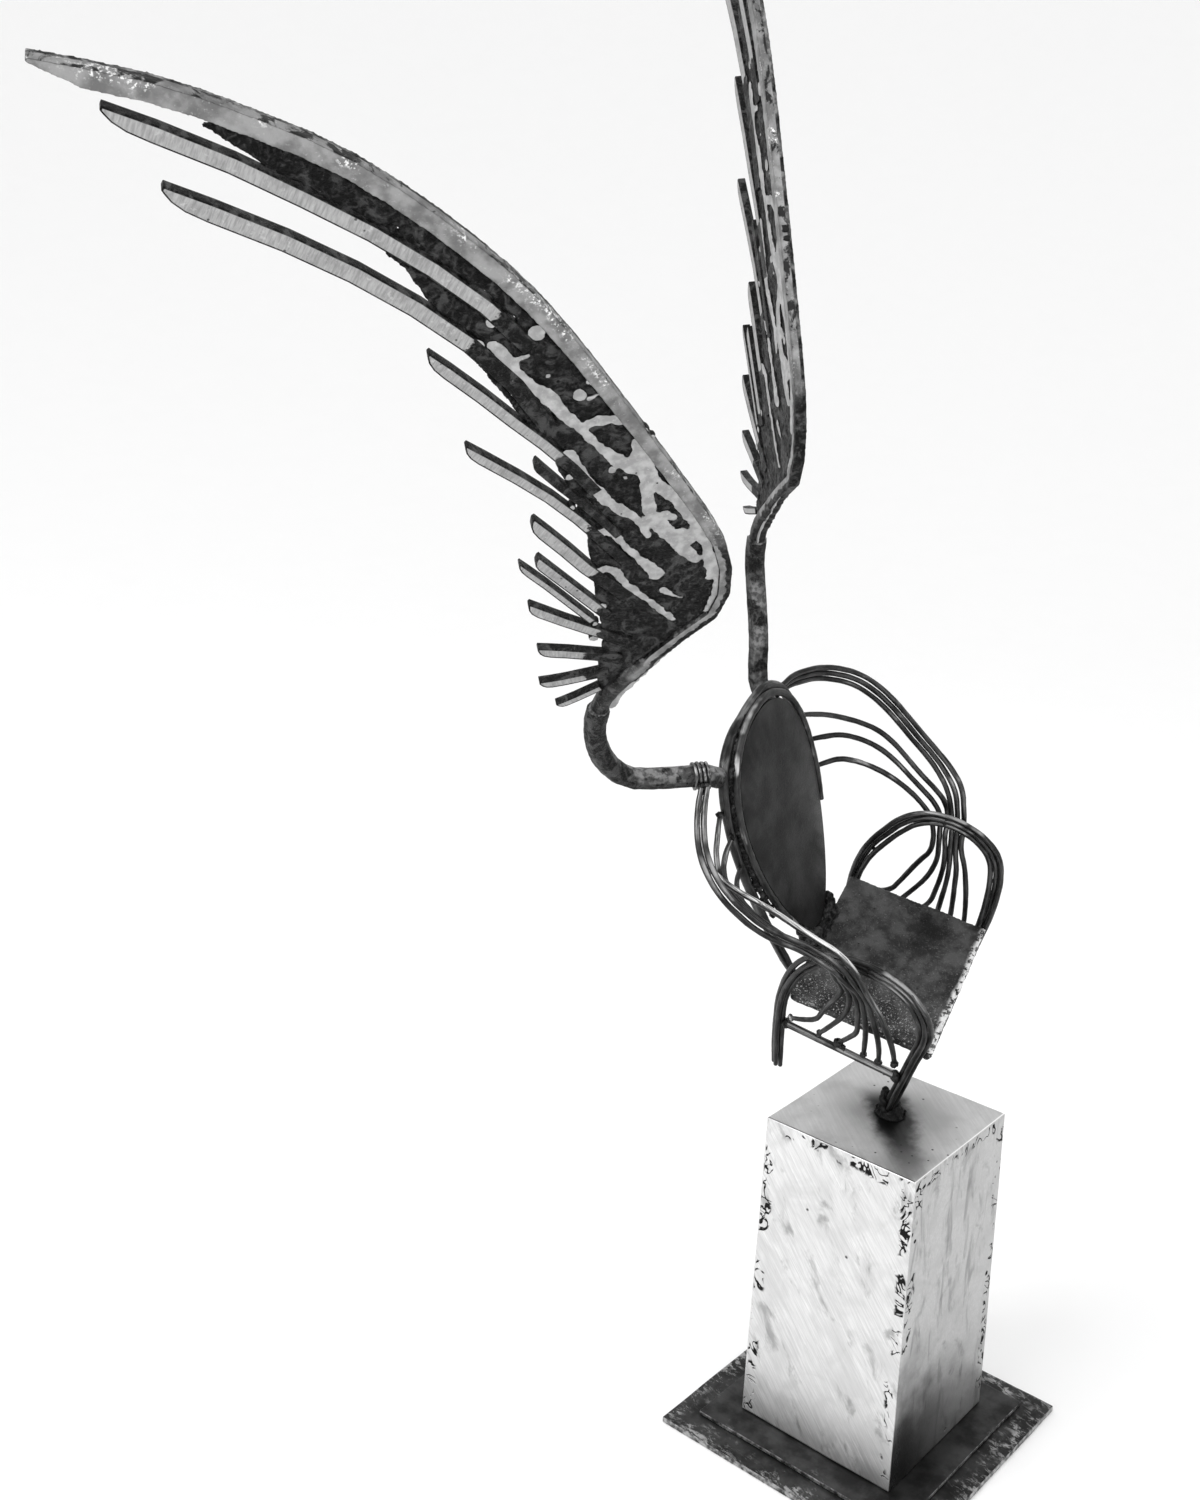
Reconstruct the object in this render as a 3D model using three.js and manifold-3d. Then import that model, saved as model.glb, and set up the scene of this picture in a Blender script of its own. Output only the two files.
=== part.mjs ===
// A small bentwood-style armchair of welded steel rod with a pair of open wings on its back,
// balanced on one leg on a hollow steel plinth. Millimetres, +Z up, the chair faces -Y.
// Left and right are as seen from in front of the chair: left is -X.
import * as THREE from "three";
import { ConvexGeometry } from "three/addons/geometries/ConvexGeometry.js";
import { mergeVertices } from "three/addons/utils/BufferGeometryUtils.js";
import Module from "manifold-3d";

const wasm = await Module();
wasm.setup();

// Driving dimensions
const touchGap = 0.3; // left between pieces that touch
const basePlate = { side: 174.4, thickness: 4 };
const upperPlate = { side: 143.4, thickness: 3, x: 1.5, y: 0.1 };
const plinth = { x: 2.2, y: 0.5, height: 205.7, topHalf: 50, footHalf: 53.2, wall: 3, lid: 3 };
const plinthFoot = basePlate.thickness + upperPlate.thickness;
const plinthTop = plinthFoot + plinth.height;

const chair = {
  x: 21.65,
  y: 18.47,
  z: 300.1, // the middle of the seat's top face
  pitch: 14.14, // degrees: the front hangs down
  roll: -23.3, // degrees: the left side hangs down
  yaw: 12.82,
};
const seat = { width: 100, depth: 86.6, thickness: 2, barRadius: 3, frontOverhang: 5 };
const legReach = 66; // from the seat's top face down to a foot
const rodRadius = 1.6;
const stretcher = { radius: 2.5, back: [53.4, 40.6, -24.3], front: [53.4, -27.9, -29.4] };

const back = {
  tilt: 22.4, // degrees, leaning backwards
  footY: 41.6,
  panelThickness: 3,
  panel: { middle: 86.2, halfWidth: 41.2, halfHeight: 77.3, egg: 0.325, power: 2.18 },
  hoop: { middle: 40, halfWidth: 42.6, halfHeight: 124.8, egg: 0.56, power: 3.2 },
  hoopRadius: 2.8,
  hoopBehind: 6.4,
  rightLeg: { inward: 14, behind: 4 }, // the hoop's right leg bends in behind the panel
  ringRadius: 2.2,
  ringBehind: 1.1,
  ringOutside: 2.6, // from the panel's edge to the ring's centre line
  ringEnds: { left: -38, right: -12 }, // degrees below the panel's widest level
};

const wing = {
  root: [-52.05, 113.86, 145.24],
  azimuth: 127.22, // degrees round the chair's upright axis, the wing sweeps out and back
  lean: 7.36, // degrees, its top leans forwards
  webThickness: 2.4,
  featherThickness: 4,
  barThickness: 6,
  stalkRadius: 6,
  neckRadius: 4.6,
};
// the right wing is the left one mirrored, then turned and moved a little, as it was bent by hand
const rightWing = { turn: [-10.7, -1.4, -12.7], pivot: [52.05, 113.86, 145.24], move: [-16.1, -11, -10.4] };

// Materials
function steel(colour, roughness) {
  return new THREE.MeshStandardMaterial({ color: colour, roughness, metalness: 0.9 });
}
const darkSteel = () => steel(0x3a3a3a, 0.55);
const blackSteel = () => steel(0x232323, 0.65);
const scaleSteel = () => steel(0x2c2c2c, 0.85);
const groundSteel = () => steel(0x9a9a9a, 0.4);
const brightSteel = () => steel(0xb8b8b8, 0.35);

// Small helpers
const vec = (p) => new THREE.Vector3(...p);
const rad = THREE.MathUtils.degToRad;

function mesh(name, geometry, material) {
  const made = new THREE.Mesh(geometry, material);
  made.name = name;
  return made;
}

// A closed geometry as a solid, and back
function solid(geometry) {
  const bare = geometry.clone();
  bare.deleteAttribute("normal");
  bare.deleteAttribute("uv");
  const merged = mergeVertices(bare, 1e-3);
  const vertProperties = new Float32Array(merged.attributes.position.array);
  const index = merged.index.array;
  return new wasm.Manifold(new wasm.Mesh({ numProp: 3, vertProperties, triVerts: new Uint32Array(index) }));
}

function geometryOf(body) {
  const data = body.getMesh();
  const made = new THREE.BufferGeometry();
  made.setAttribute("position", new THREE.BufferAttribute(new Float32Array(data.vertProperties), 3));
  made.setIndex(new THREE.BufferAttribute(new Uint32Array(data.triVerts), 1));
  return made;
}

function union(geometries) {
  return geometries.map(solid).reduce((all, one) => all.add(one));
}

// What is left of a body once its neighbours are cut away, without the crumbs
function cutBy(body, geometries) {
  const rest = geometries.reduce((left, one) => left.subtract(solid(one)), body);
  return rest.decompose().reduce((best, one) => (one.volume() > best.volume() ? one : best));
}

// Rods
function polygon(sides, radius) {
  const corners = Array.from({ length: sides }, (_, i) => (2 * Math.PI * (i + 0.5)) / sides);
  const corner = (turn) => new THREE.Vector2(radius * Math.cos(turn), radius * Math.sin(turn));
  return new THREE.Shape(corners.map(corner));
}

function smooth(points) {
  return new THREE.CatmullRomCurve3(points.map(vec), false, "centripetal");
}

function rod(points, radius, steps, sides = 6) {
  const options = { steps, extrudePath: smooth(points), bevelEnabled: false };
  return new THREE.ExtrudeGeometry(polygon(sides, radius), options);
}

// A round bar with rounded ends, between two points
function roundBar(from, to, radius) {
  const along = vec(to).sub(vec(from));
  const bar = new THREE.CapsuleGeometry(radius, along.length(), 2, 8);
  const upright = new THREE.Vector3(0, 1, 0);
  bar.applyQuaternion(new THREE.Quaternion().setFromUnitVectors(upright, along.clone().normalize()));
  const middle = vec(from).addScaledVector(along, 0.5);
  return bar.translate(middle.x, middle.y, middle.z);
}

// Base and plinth
function slab(name, size, x, y, z) {
  const made = mesh(name, new THREE.BoxGeometry(size.side, size.side, size.thickness), darkSteel());
  made.position.set(x, y, z + size.thickness / 2);
  return made;
}

function frustum(footHalf, topHalf, from, to) {
  const corners = [];
  for (const [half, z] of [[footHalf, from], [topHalf, to]])
    for (const sx of [-1, 1])
      for (const sy of [-1, 1]) corners.push(new THREE.Vector3(sx * half, sy * half, z));
  return new ConvexGeometry(corners);
}

// Four walls flaring towards the foot, open below and closed by a lid plate above
function plinthWalls() {
  const { footHalf, topHalf, height, wall, lid } = plinth;
  const top = height - lid - touchGap;
  const outside = solid(frustum(footHalf, topHalf, touchGap, top));
  const spread = (footHalf - topHalf) / height; // the flare goes on past both ends of the hollow
  const reach = 10;
  const inFoot = footHalf - wall + spread * reach;
  const inTop = topHalf - wall - spread * reach;
  const hollow = solid(frustum(inFoot, inTop, -reach, height + reach));
  const made = mesh("plinth_walls", geometryOf(outside.subtract(hollow)), brightSteel());
  made.position.set(plinth.x, plinth.y, plinthFoot);
  return made;
}

function plinthLid() {
  const { topHalf, height, lid } = plinth;
  const made = mesh("plinth_top", frustum(topHalf, topHalf, height - lid, height), groundSteel());
  made.position.set(plinth.x, plinth.y, plinthFoot);
  return made;
}

// Chair: places on the left side have a negative x; the right side is its mirror image
function onSide(side, points) {
  return points.map(([out, y, z]) => [side * out, y, z]);
}

const seatWaves = { count: 8, depth: 0.7 }; // the flame-cut edge of the seat

function seatPlate() {
  const { width, depth, thickness } = seat;
  const corners = [[-1, -1], [1, -1], [1, 1], [-1, 1]];
  const outline = [];
  corners.forEach(([cx, cy], side) => {
    const [nx, ny] = corners[(side + 1) % 4];
    for (let i = 0; i < seatWaves.count; i++) {
      const t = i / seatWaves.count;
      const rough = i ? seatWaves.depth * (0.5 + 0.5 * Math.sin(7.3 * i + 2.1 * side)) : 0;
      const inward = 1 - (2 * rough) / width;
      const x = (((cx + (nx - cx) * t) * width) / 2) * inward;
      const y = (((cy + (ny - cy) * t) * depth) / 2) * inward;
      outline.push(new THREE.Vector2(x, y));
    }
  });
  const options = { depth: thickness, bevelEnabled: false };
  const plate = new THREE.ExtrudeGeometry(new THREE.Shape(outline), options);
  return mesh("seat_plate", plate.translate(0, 0, -thickness), darkSteel());
}

// Four round bars welded under the seat's edges; the front one runs past the left corner
function seatFrame() {
  const r = seat.barRadius;
  const x = seat.width / 2 - r;
  const y = seat.depth / 2 - r;
  const z = -seat.thickness - touchGap - r;
  const bars = [
    roundBar([-x - seat.frontOverhang + r, -y, z], [x, -y, z], r),
    roundBar([-x, y, z], [x, y, z], r),
    roundBar([-x, -y, z], [-x, y, z], r),
    roundBar([x, -y, z], [x, y, z], r),
  ];
  return mesh("seat_frame", geometryOf(union(bars)), blackSteel());
}

// Three rods bent side by side into a hoop: a leg, the arm's arch and the other leg.
// Each place is [out, y, z, apart, proud]: apart is the spacing of the rods towards the inside
// of the hoop, proud is how far the middle one stands out.
const archPath = [
  [52, 43, -66, 2.2, 2.8],
  [52, 47, -30, 2.2, 2.8],
  [52.2, 48.2, 0, 2.2, 2.7],
  [53, 44.5, 25, 3.2, 2.3],
  [55, 37, 42, 3.7, 1],
  [58.5, 27, 56, 3.8, 0.4],
  [61, 15, 63, 3.6, 0],
  [62, 0, 65, 3.4, 0],
  [62.5, -16, 61.5, 3.4, 0],
  [63, -28, 54, 3.4, 0],
  [63, -36, 43, 3.4, 0],
  [60, -39.6, 29, 3.1, 1.1],
  [55.5, -39.6, 12, 2.7, 2.5],
  [52.4, -37.6, -2, 2.3, 2.8],
  [52, -34.5, -32, 2.2, 2.8],
  [52, -31.5, -61, 2.2, 2.8],
];
const rightArchForward = 5; // the right arch and its legs sit further forward
const rightArchTuck = 3; // but its front bend bulges forward less
const footEnds = [0, 1.6, -1.2]; // the rods end a little raggedly below
const standingEnds = [-2.6, -3.2, -4]; // the left front leg stands level on the plinth

function archPlaces(side, index) {
  const count = archPath.length;
  const points = archPath.map(([out, y, z, apart, proud], i) => {
    const before = archPath[Math.max(i - 1, 0)];
    const after = archPath[Math.min(i + 1, count - 1)];
    const along = Math.hypot(after[1] - before[1], after[2] - before[2]);
    const shift = (index * apart) / along; // towards the inside, square to the path
    const inY = Math.abs(after[2] - before[2]) * Math.sign(y) * shift;
    const inZ = Math.abs(after[1] - before[1]) * shift;
    const middle = index === 1 ? proud : 0;
    const bend = THREE.MathUtils.smoothstep(-y, 0, 36) * THREE.MathUtils.smoothstep(z, -10, 28);
    const forward = side > 0 ? rightArchForward - rightArchTuck * bend : 0;
    return [side * (out + middle), y - inY - forward, z - inZ];
  });
  points[0][2] += footEnds[index];
  points[count - 1][2] += side < 0 ? standingEnds[index] : -footEnds[index];
  return points;
}

function archRod(side, index, grow = 0) {
  return rod(archPlaces(side, index), rodRadius + grow, 22);
}

function arches() {
  const made = [];
  for (const [word, side] of [["left", -1], ["right", 1]])
    for (const index of [0, 1, 2])
      made.push(mesh(`${word}_arch_rod_${index + 1}`, archRod(side, index), darkSteel()));
  return made;
}

function stretchers() {
  const { radius, back: from, front: to } = stretcher;
  return [["left", -1, 0], ["right", 1, rightArchForward]].map(([word, side, forward]) => {
    const ends = onSide(side, [from, to]).map(([x, y, z]) => [x, y - forward, z]);
    return mesh(`${word}_stretcher`, rod(ends, radius, 1, 8), groundSteel());
  });
}

// Six rods on each side run from the back's hoop along the arm, round the outside of the arch
// and fan out down to the stretcher, in this order from back to front. Places are [out, y, z].
const armRods = {
  left: [
    [[54.3, 83.4, 90], [60, 81.4, 79.7], [67, 71.7, 77.7], [75, 55.5, 77.5], [77, 37, 74.1], [74, 22.6, 69.4],
      [70.5, 19.5, 60], [68.2, 17.4, 52.5]],
    [[53, 91, 110], [62, 90.5, 99.8], [70, 84.5, 92.7], [79, 65.9, 90], [81, 45.5, 84.5], [78, 27, 78],
      [74, 15, 68], [68.2, 14.4, 53]],
    [[51.6, 100, 122], [62, 95.9, 110.6], [72, 90.1, 103.8], [82, 73.5, 97.1], [85, 53.2, 90.9],
      [83, 31, 85.3], [77.3, 12, 72], [68.6, 10.7, 53]],
  ],
  right: [
    [[51, 80, 75], [63, 67.5, 77.4], [72, 45.9, 70.9], [73, 23, 61], [69, 9, 52]],
    [[54.5, 86.5, 91.5], [65, 71, 93.9], [76, 49.7, 84], [76, 24.1, 68.3], [71.5, 5.5, 56.5]],
    [[53.8, 94, 108.7], [67, 80.8, 103.6], [79, 52.7, 94], [79.5, 24.4, 73.9], [75, 2.5, 59]],
  ],
};
// the last three lie side by side in the outer bundle; on the left it starts at the wing's stalk
const leftBundle = [
  [[59.2, 109.9, 146.3], [64.8, 108.5, 145.2], [78.6, 102.4, 134], [89, 93.6, 124.6], [96.5, 79.5, 115],
    [98.6, 64, 106.4], [97.4, 51.5, 100], [91, 32.5, 91.4], [86, 16.5, 80.5], [78.6, 10.8, 66],
    [70, 7.3, 52.5]],
  [[57.8, 107, 146.8], [63.4, 105.6, 145.4], [77, 99.2, 134.6], [87.4, 90.4, 125.4],
    [94.4, 77.6, 117.4], [96.2, 63.2, 109.2], [95, 50.9, 102.8], [88.6, 32, 94.2], [83.8, 15.6, 84],
    [77.6, 7.6, 69.2], [70, 3.9, 54]],
  [[58.5, 109, 140.6], [72.5, 102.4, 128.6], [82.5, 93.8, 119], [87.5, 79.5, 114.9], [90.6, 64, 115],
    [89.4, 52.2, 110.8], [85.4, 33.4, 99.6], [81.4, 15, 88.6], [76.6, 4.8, 72.4], [70, 0.6, 56]],
];
// on the right the middle rod has a neighbour above it and one below
const rightMiddle = [[46, 106.5, 129], [56, 105.2, 127.4], [64, 102.2, 125.2], [75, 97.3, 122.2],
  [84, 89.8, 118.6], [92.6, 77.6, 113.6], [97, 64, 106], [96, 51.5, 99.6], [89.5, 32.5, 91], [84, 17, 84]];
const rightStep = [1.9, -0.6, 3.1];
const rightBends = [
  [[76, 4.5, 70], [69.6, -3.7, 53]],
  [[77, 2, 74], [69.6, -6.9, 54.5]],
  [[78, -0.6, 78], [69.8, -10.3, 56]],
];
// below the arch: the same on both sides, the right one further forward
const fanRods = [
  [[63.5, 13.6, 42], [61.8, 13, 32.8], [60.1, 16.9, 21], [57.4, 21.2, 4], [56.4, 24, -5], [56, 30.3, -10.5],
    [56, 38, -14]],
  [[63.8, 10.2, 42], [62.2, 8.1, 34.1], [60.5, 7.3, 23.1], [58.4, 8.8, 11], [56.6, 13, -1.5],
    [55, 17.3, -12.5], [53.8, 20.4, -20]],
  [[64, 6.8, 42], [62.3, 4.2, 34.8], [60.4, 1.7, 22.5], [58.2, 0.1, 7.4], [56.2, 0.2, -4], [54.8, 4.4, -13],
    [53.8, 8.4, -20.8]],
  [[64.3, 3.1, 42], [62, 0.1, 31], [59.7, -2.8, 18.5], [57.3, -5.3, 2.8], [53.8, -7.2, -21.9]],
  [[64.4, 0, 42], [61.1, -5.4, 26.8], [58.5, -10, 10.6], [56.1, -14, -4.4], [53.8, -16.4, -22.5]],
  [[64.6, -3.4, 42], [61.5, -9.8, 29.4], [58.9, -16.5, 13.1], [56.4, -22, -2.8], [54, -25.2, -18]],
];
const rightFanForward = { gather: 10, foot: 5 };

function moved(points, [x, y, z]) {
  return points.map((p) => [p[0] + x, p[1] + y, p[2] + z]);
}

function forwardBy(places, gather, foot) {
  return places.map(([out, y, z]) => {
    const low = THREE.MathUtils.smoothstep(-z, -40, 20);
    return [out, y - THREE.MathUtils.lerp(gather, foot, low), z];
  });
}

function rightRod(index) {
  const step = index - 4;
  const fan = forwardBy(fanRods[index], rightFanForward.gather, rightFanForward.foot);
  if (index < 3) return [...armRods.right[index], ...fan];
  return [...moved(rightMiddle, rightStep.map((part) => part * step)), ...rightBends[index - 3], ...fan];
}

function sideRods() {
  return fanRods.flatMap((fan, index) => {
    const left = [...(index < 3 ? armRods.left[index] : leftBundle[index - 3]), ...fan];
    const paths = { left: onSide(-1, left), right: onSide(1, rightRod(index)) };
    return Object.entries(paths).map(([word, path]) =>
      mesh(`${word}_side_rod_${index + 1}`, rod(path, rodRadius, 20), darkSteel()));
  });
}

// Back: drawn in its own tilted plane, x across and y upwards, its front face at z = 0
function eggPoint({ middle, halfWidth, halfHeight, egg, power }, turn, outside = 0) {
  const c = Math.cos(turn);
  const s = Math.sin(turn);
  const x = (halfWidth + outside) * (1 + egg * s) * Math.sign(c) * Math.abs(c) ** (2 / power);
  return [x, middle + (halfHeight + outside) * s];
}

function backPanel() {
  const steps = 36;
  const turns = Array.from({ length: steps }, (_, i) => (2 * Math.PI * i) / steps);
  const shape = new THREE.Shape(turns.map((turn) => new THREE.Vector2(...eggPoint(back.panel, turn))));
  const made = new THREE.ExtrudeGeometry(shape, { depth: back.panelThickness, bevelEnabled: false });
  return mesh("back_panel", made.translate(0, 0, -back.panelThickness), blackSteel());
}

function eggArc(egg, from, to, steps, z, outside = 0) {
  const points = [];
  for (let i = 0; i <= steps; i++) {
    const [x, y] = eggPoint(egg, THREE.MathUtils.lerp(from, to, i / steps), outside);
    points.push([x, y, z]);
  }
  return points;
}

function backRing() {
  const { panel, ringRadius, ringBehind, ringOutside, ringEnds } = back;
  const path = eggArc(panel, rad(ringEnds.right), Math.PI - rad(ringEnds.left), 24, -ringBehind, ringOutside);
  return mesh("back_inner_ring", rod(path, ringRadius, 21), darkSteel());
}

// The hoop's ends come down behind the seat's back edge
function backHoop() {
  const low = rad(-19);
  const { hoop, hoopBehind, rightLeg } = back;
  const path = eggArc(hoop, low, Math.PI - low, 28, -hoopBehind).map(([x, y, z]) => {
    const share = x > 0 ? 1 - THREE.MathUtils.smoothstep(y, 0, 0.9 * hoop.halfHeight) : 0;
    return [x - rightLeg.inward * share, y, z - rightLeg.behind * share];
  });
  return mesh("back_hoop", rod(path, back.hoopRadius, 25, 8), darkSteel());
}

// Wings: drawn in the wing's plane, x outwards, y upwards, the outline of the left wing.
// The leading edge from the tip down to the shoulder.
const leadingEdge = [
  [262.7, 417.7], [226.4, 408], [196.4, 394.8], [164.8, 377.2], [130, 348.4], [97.1, 313.2], [58.8, 257.7],
  [17.4, 192.5], [6.5, 168], [3.4, 148], [6, 131], [17.5, 118], [31, 103], [42, 86],
];
const bar = { tip: 20, width: 7.4, end: 6, inset: 1.6 }; // inset from the outline above

// Middle lines of the feathers from tip to root, with their widths
const feathers = [
  {
    line: [[245, 395.5], [213, 379.8], [178, 358], [150, 338.5], [122, 314], [103, 292]],
    width: 6.8,
    tip: 18,
  },
  {
    line: [[230, 365.5], [198, 348.8], [166, 328.6], [134, 303], [110, 277], [94, 252]],
    width: 7.4,
    tip: 18,
  },
  { line: [[143, 290.5], [127, 275.5], [107, 254.5], [88, 235], [72, 214]], width: 5.6, tip: 12 },
  { line: [[99.5, 233], [89, 220.5], [75, 205.5], [60, 187]], width: 4, tip: 5 },
  { line: [[128, 243], [108, 227], [89, 210], [75, 194.5], [55, 170]], width: 5.2, tip: 10 },
  { line: [[99.5, 199], [86, 184], [72, 167], [52, 147]], width: 6.4, tip: 10 },
  { line: [[96, 175.8], [86, 164.4], [74, 150.7], [61, 135.9]], width: 5.4, tip: 6 },
  { line: [[103.5, 173.2], [92, 161], [79, 146], [67.4, 132.4]], width: 3.6, tip: 8 },
  { line: [[98.2, 145.3], [82, 134.8], [66, 125.3], [49, 115.6]], width: 5.6, tip: 8 },
  { line: [[92, 114], [79, 111.5], [66, 108.2], [52, 104.6]], width: 5.6, tip: 7 },
  { line: [[89.5, 89.7], [79, 90.8], [68, 92.9], [57, 95.1]], width: 5, tip: 6 },
  { line: [[80, 72.5], [72, 76.5], [59.5, 84]], width: 4, tip: 4 },
];

// The web's free side, between the roots of the feathers
const webEdge = [
  [214, 390], [196, 375], [180, 363.5], [150, 331], [130, 296], [108, 262], [92, 236], [80, 208], [74, 188],
  [69, 160], [64, 134], [61, 118], [62, 101], [61, 86], [58, 74],
];

// Places along a smooth line, at shares of its length
function placesAlong(line, shares) {
  const curve = new THREE.SplineCurve(line.map(([x, y]) => new THREE.Vector2(x, y)));
  return shares.map((share) => {
    const at = curve.getPointAt(share);
    const way = curve.getTangentAt(share);
    return { at, left: new THREE.Vector2(-way.y, way.x), gone: curve.getLength() * share };
  });
}

function evenShares(count) {
  return Array.from({ length: count + 1 }, (_, i) => i / count);
}

// The two long edges of a blade, each as far to the left of its middle line as its function says
function bladeShape(line, shares, farLeft, farRight, grow = 0) {
  const places = placesAlong(line, shares);
  const edge = (offset) => places.map((place) => place.at.clone().addScaledVector(place.left, offset(place)));
  const left = edge((place) => farLeft(place) + grow);
  const right = edge((place) => farRight(place) - grow);
  return new THREE.Shape([...left, ...right.reverse()]);
}

function flat(shape, thickness) {
  const made = new THREE.ExtrudeGeometry(shape, { depth: thickness, bevelEnabled: false });
  return made.translate(0, 0, -thickness / 2);
}

function taper(gone, tip) {
  const left = Math.max(0, 1 - gone / tip);
  return Math.sqrt(Math.max(0.06, 1 - left * left));
}

// The line runs from tip to root, so the feather's upper edge is on its right: it is straight,
// and the lower one curves up to it at the tip like a table knife's
const tipShares = [0, 0.08, 0.25, 0.55, 1]; // of the tip's own length

function featherBody({ line, width, tip }, thickness, grow = 0) {
  const half = width / 2;
  const length = new THREE.SplineCurve(line.map(([x, y]) => new THREE.Vector2(x, y))).getLength();
  const tipShare = tip / length;
  const rest = evenShares(line.length).slice(1).map((share) => THREE.MathUtils.lerp(tipShare, 1, share));
  const shares = [...tipShares.map((share) => share * tipShare), ...rest];
  const under = ({ gone }) => width * taper(gone, tip) - half;
  return flat(bladeShape(line, shares, under, () => -half, grow), thickness);
}

// The leading bar is one blade along the whole edge, with a thick stalk welded up its lower end
function leadingBar(stalk, grow = 0, thickness = wing.barThickness) {
  const count = 26;
  const under = ({ gone }) => {
    const wide = THREE.MathUtils.lerp(bar.width, bar.end, THREE.MathUtils.smoothstep(gone, 150, 330));
    return bar.inset + wide * taper(gone, bar.tip);
  };
  const blade = flat(bladeShape(leadingEdge, evenShares(count), under, () => bar.inset, grow), thickness);
  const stalkBody = rod(stalk, wing.stalkRadius + grow, 12, 8);
  const neck = rod([stalk.at(-1), [57, 74, 0], [50, 86, 0], [38, 100, 0]], wing.neckRadius + grow, 5, 8);
  return union([blade, stalkBody, neck]);
}

function webShape() {
  const count = 20;
  const inside = placesAlong(leadingEdge, evenShares(count)).slice(3).reverse();
  const reach = 3; // runs under the leading bar, which is then cut away
  const free = webEdge.map(([x, y]) => new THREE.Vector2(x, y));
  return new THREE.Shape([...free, ...inside.map(({ at, left }) => at.clone().addScaledVector(left, reach))]);
}

// Slits that the weld metal left open, with their lengths; each runs along the feathers
const slits = [
  { at: [153.5, 348.2], length: 7 },
  { at: [122.7, 319], length: 9 },
  { at: [112.1, 307.6], length: 8 },
  { at: [102.6, 281.8], length: 8 },
  { at: [72.9, 205.3], length: 5 },
];
const slit = { width: 1.6, slope: 38 };

function slitCuts(depth) {
  return slits.map(({ at, length }) => {
    const cut = new THREE.BoxGeometry(length, slit.width, depth);
    return cut.rotateZ(rad(slit.slope)).translate(at[0], at[1], 0);
  });
}

// Middle lines of the stalks, from behind the hoop up to the leading bar's neck
const stalkTop = [[60, 52, 0], [59, 66, 0]];
const stalks = {
  left: [[-11.2, -7, 2.4], [-4, 0, 0], [20, 1.5, 0], [38, 5, 0], [50, 18, 0], [57, 34, 0], ...stalkTop],
  right: [[10, -20.3, -8.6], [18, -20.3, -2.5], [26.3, -16.5, 2.2], [31, -5, 3.2], [36, 8, 2], [44, 22, 1],
    [54, 36, 0], ...stalkTop],
};

function wingMeshes(word) {
  const stalk = stalks[word];
  const cutDepth = 20;
  const barBody = leadingBar(stalk);
  const featherCuts = feathers.map((one) => featherBody(one, cutDepth, touchGap));
  const barCut = geometryOf(leadingBar(stalk, touchGap, cutDepth));
  const sheet = solid(flat(webShape(), wing.webThickness));
  const web = cutBy(sheet, [...featherCuts, barCut, ...slitCuts(cutDepth)]);
  const made = [
    mesh(`${word}_wing_leading_bar`, geometryOf(barBody), groundSteel()),
    mesh(`${word}_wing_web`, geometryOf(web), scaleSteel()),
  ];
  feathers.forEach((one, i) => {
    made.push(mesh(`${word}_wing_feather_${i + 1}`, featherBody(one, wing.featherThickness), groundSteel()));
  });
  return made;
}

function wingGroup(word) {
  const group = new THREE.Group();
  group.add(...wingMeshes(word));
  group.position.set(...wing.root);
  group.rotation.set(rad(90 - wing.lean), 0, rad(wing.azimuth), "ZYX");
  return group;
}

function rightWingGroup() {
  const mirror = new THREE.Group();
  mirror.scale.x = -1;
  mirror.add(wingGroup("right"));
  mirror.position.copy(vec(rightWing.pivot).negate());
  const turned = new THREE.Group();
  turned.add(mirror);
  const turn = vec(rightWing.turn.map(rad));
  turned.quaternion.setFromAxisAngle(turn.clone().normalize(), turn.length());
  turned.position.copy(vec(rightWing.pivot).add(vec(rightWing.move)));
  return turned;
}

// Assembly
const chairGroup = new THREE.Group();
chairGroup.rotation.set(rad(chair.pitch), rad(chair.roll), rad(chair.yaw), "ZYX");
chairGroup.position.set(chair.x, chair.y, chair.z);

const backGroup = new THREE.Group();
backGroup.rotation.x = rad(90 - back.tilt);
backGroup.position.y = back.footY;
backGroup.add(backPanel(), backRing(), backHoop());

chairGroup.add(seatPlate(), seatFrame(), ...arches(), ...stretchers(), backGroup);
chairGroup.add(...sideRods(), wingGroup("left"), rightWingGroup());

// A lump of weld on the plinth round the foot of the left front leg
const footWeld = { radius: 10, height: 16, sides: 8, lean: 3 };

function footWeldMesh() {
  chairGroup.updateMatrixWorld(true);
  const leg = archPath.at(-1);
  const foot = vec([-leg[0], leg[1], -legReach]).applyMatrix4(chairGroup.matrixWorld);
  const { radius, height, sides, lean } = footWeld;
  const profile = [[0, 0], [radius, 0], [radius * 0.75, height * 0.14], [radius * 0.52, height * 0.45],
    [radius * 0.3, height], [0, height]];
  const lump = new THREE.LatheGeometry(profile.map(([r, y]) => new THREE.Vector2(r, y)), sides);
  lump.rotateX(Math.PI / 2);
  const places = lump.attributes.position;
  for (let i = 0; i < places.count; i++) {
    const high = places.getZ(i) / height;
    places.setX(i, places.getX(i) - lean * high);
    places.setY(i, places.getY(i) + lean * high);
  }
  lump.translate(foot.x, foot.y, plinthTop + touchGap);
  const legs = [0, 1, 2].map((index) => archRod(-1, index, touchGap).applyMatrix4(chairGroup.matrixWorld));
  return mesh("foot_weld", geometryOf(cutBy(solid(lump), legs)), scaleSteel());
}

const group = new THREE.Group();
group.add(
  slab("base_plate_lower", basePlate, 0, 0, 0),
  slab("base_plate_upper", { ...upperPlate, thickness: upperPlate.thickness - touchGap },
    upperPlate.x, upperPlate.y, basePlate.thickness + touchGap),
  plinthWalls(),
  plinthLid(),
  footWeldMesh(),
  chairGroup,
);

export default group;
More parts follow.
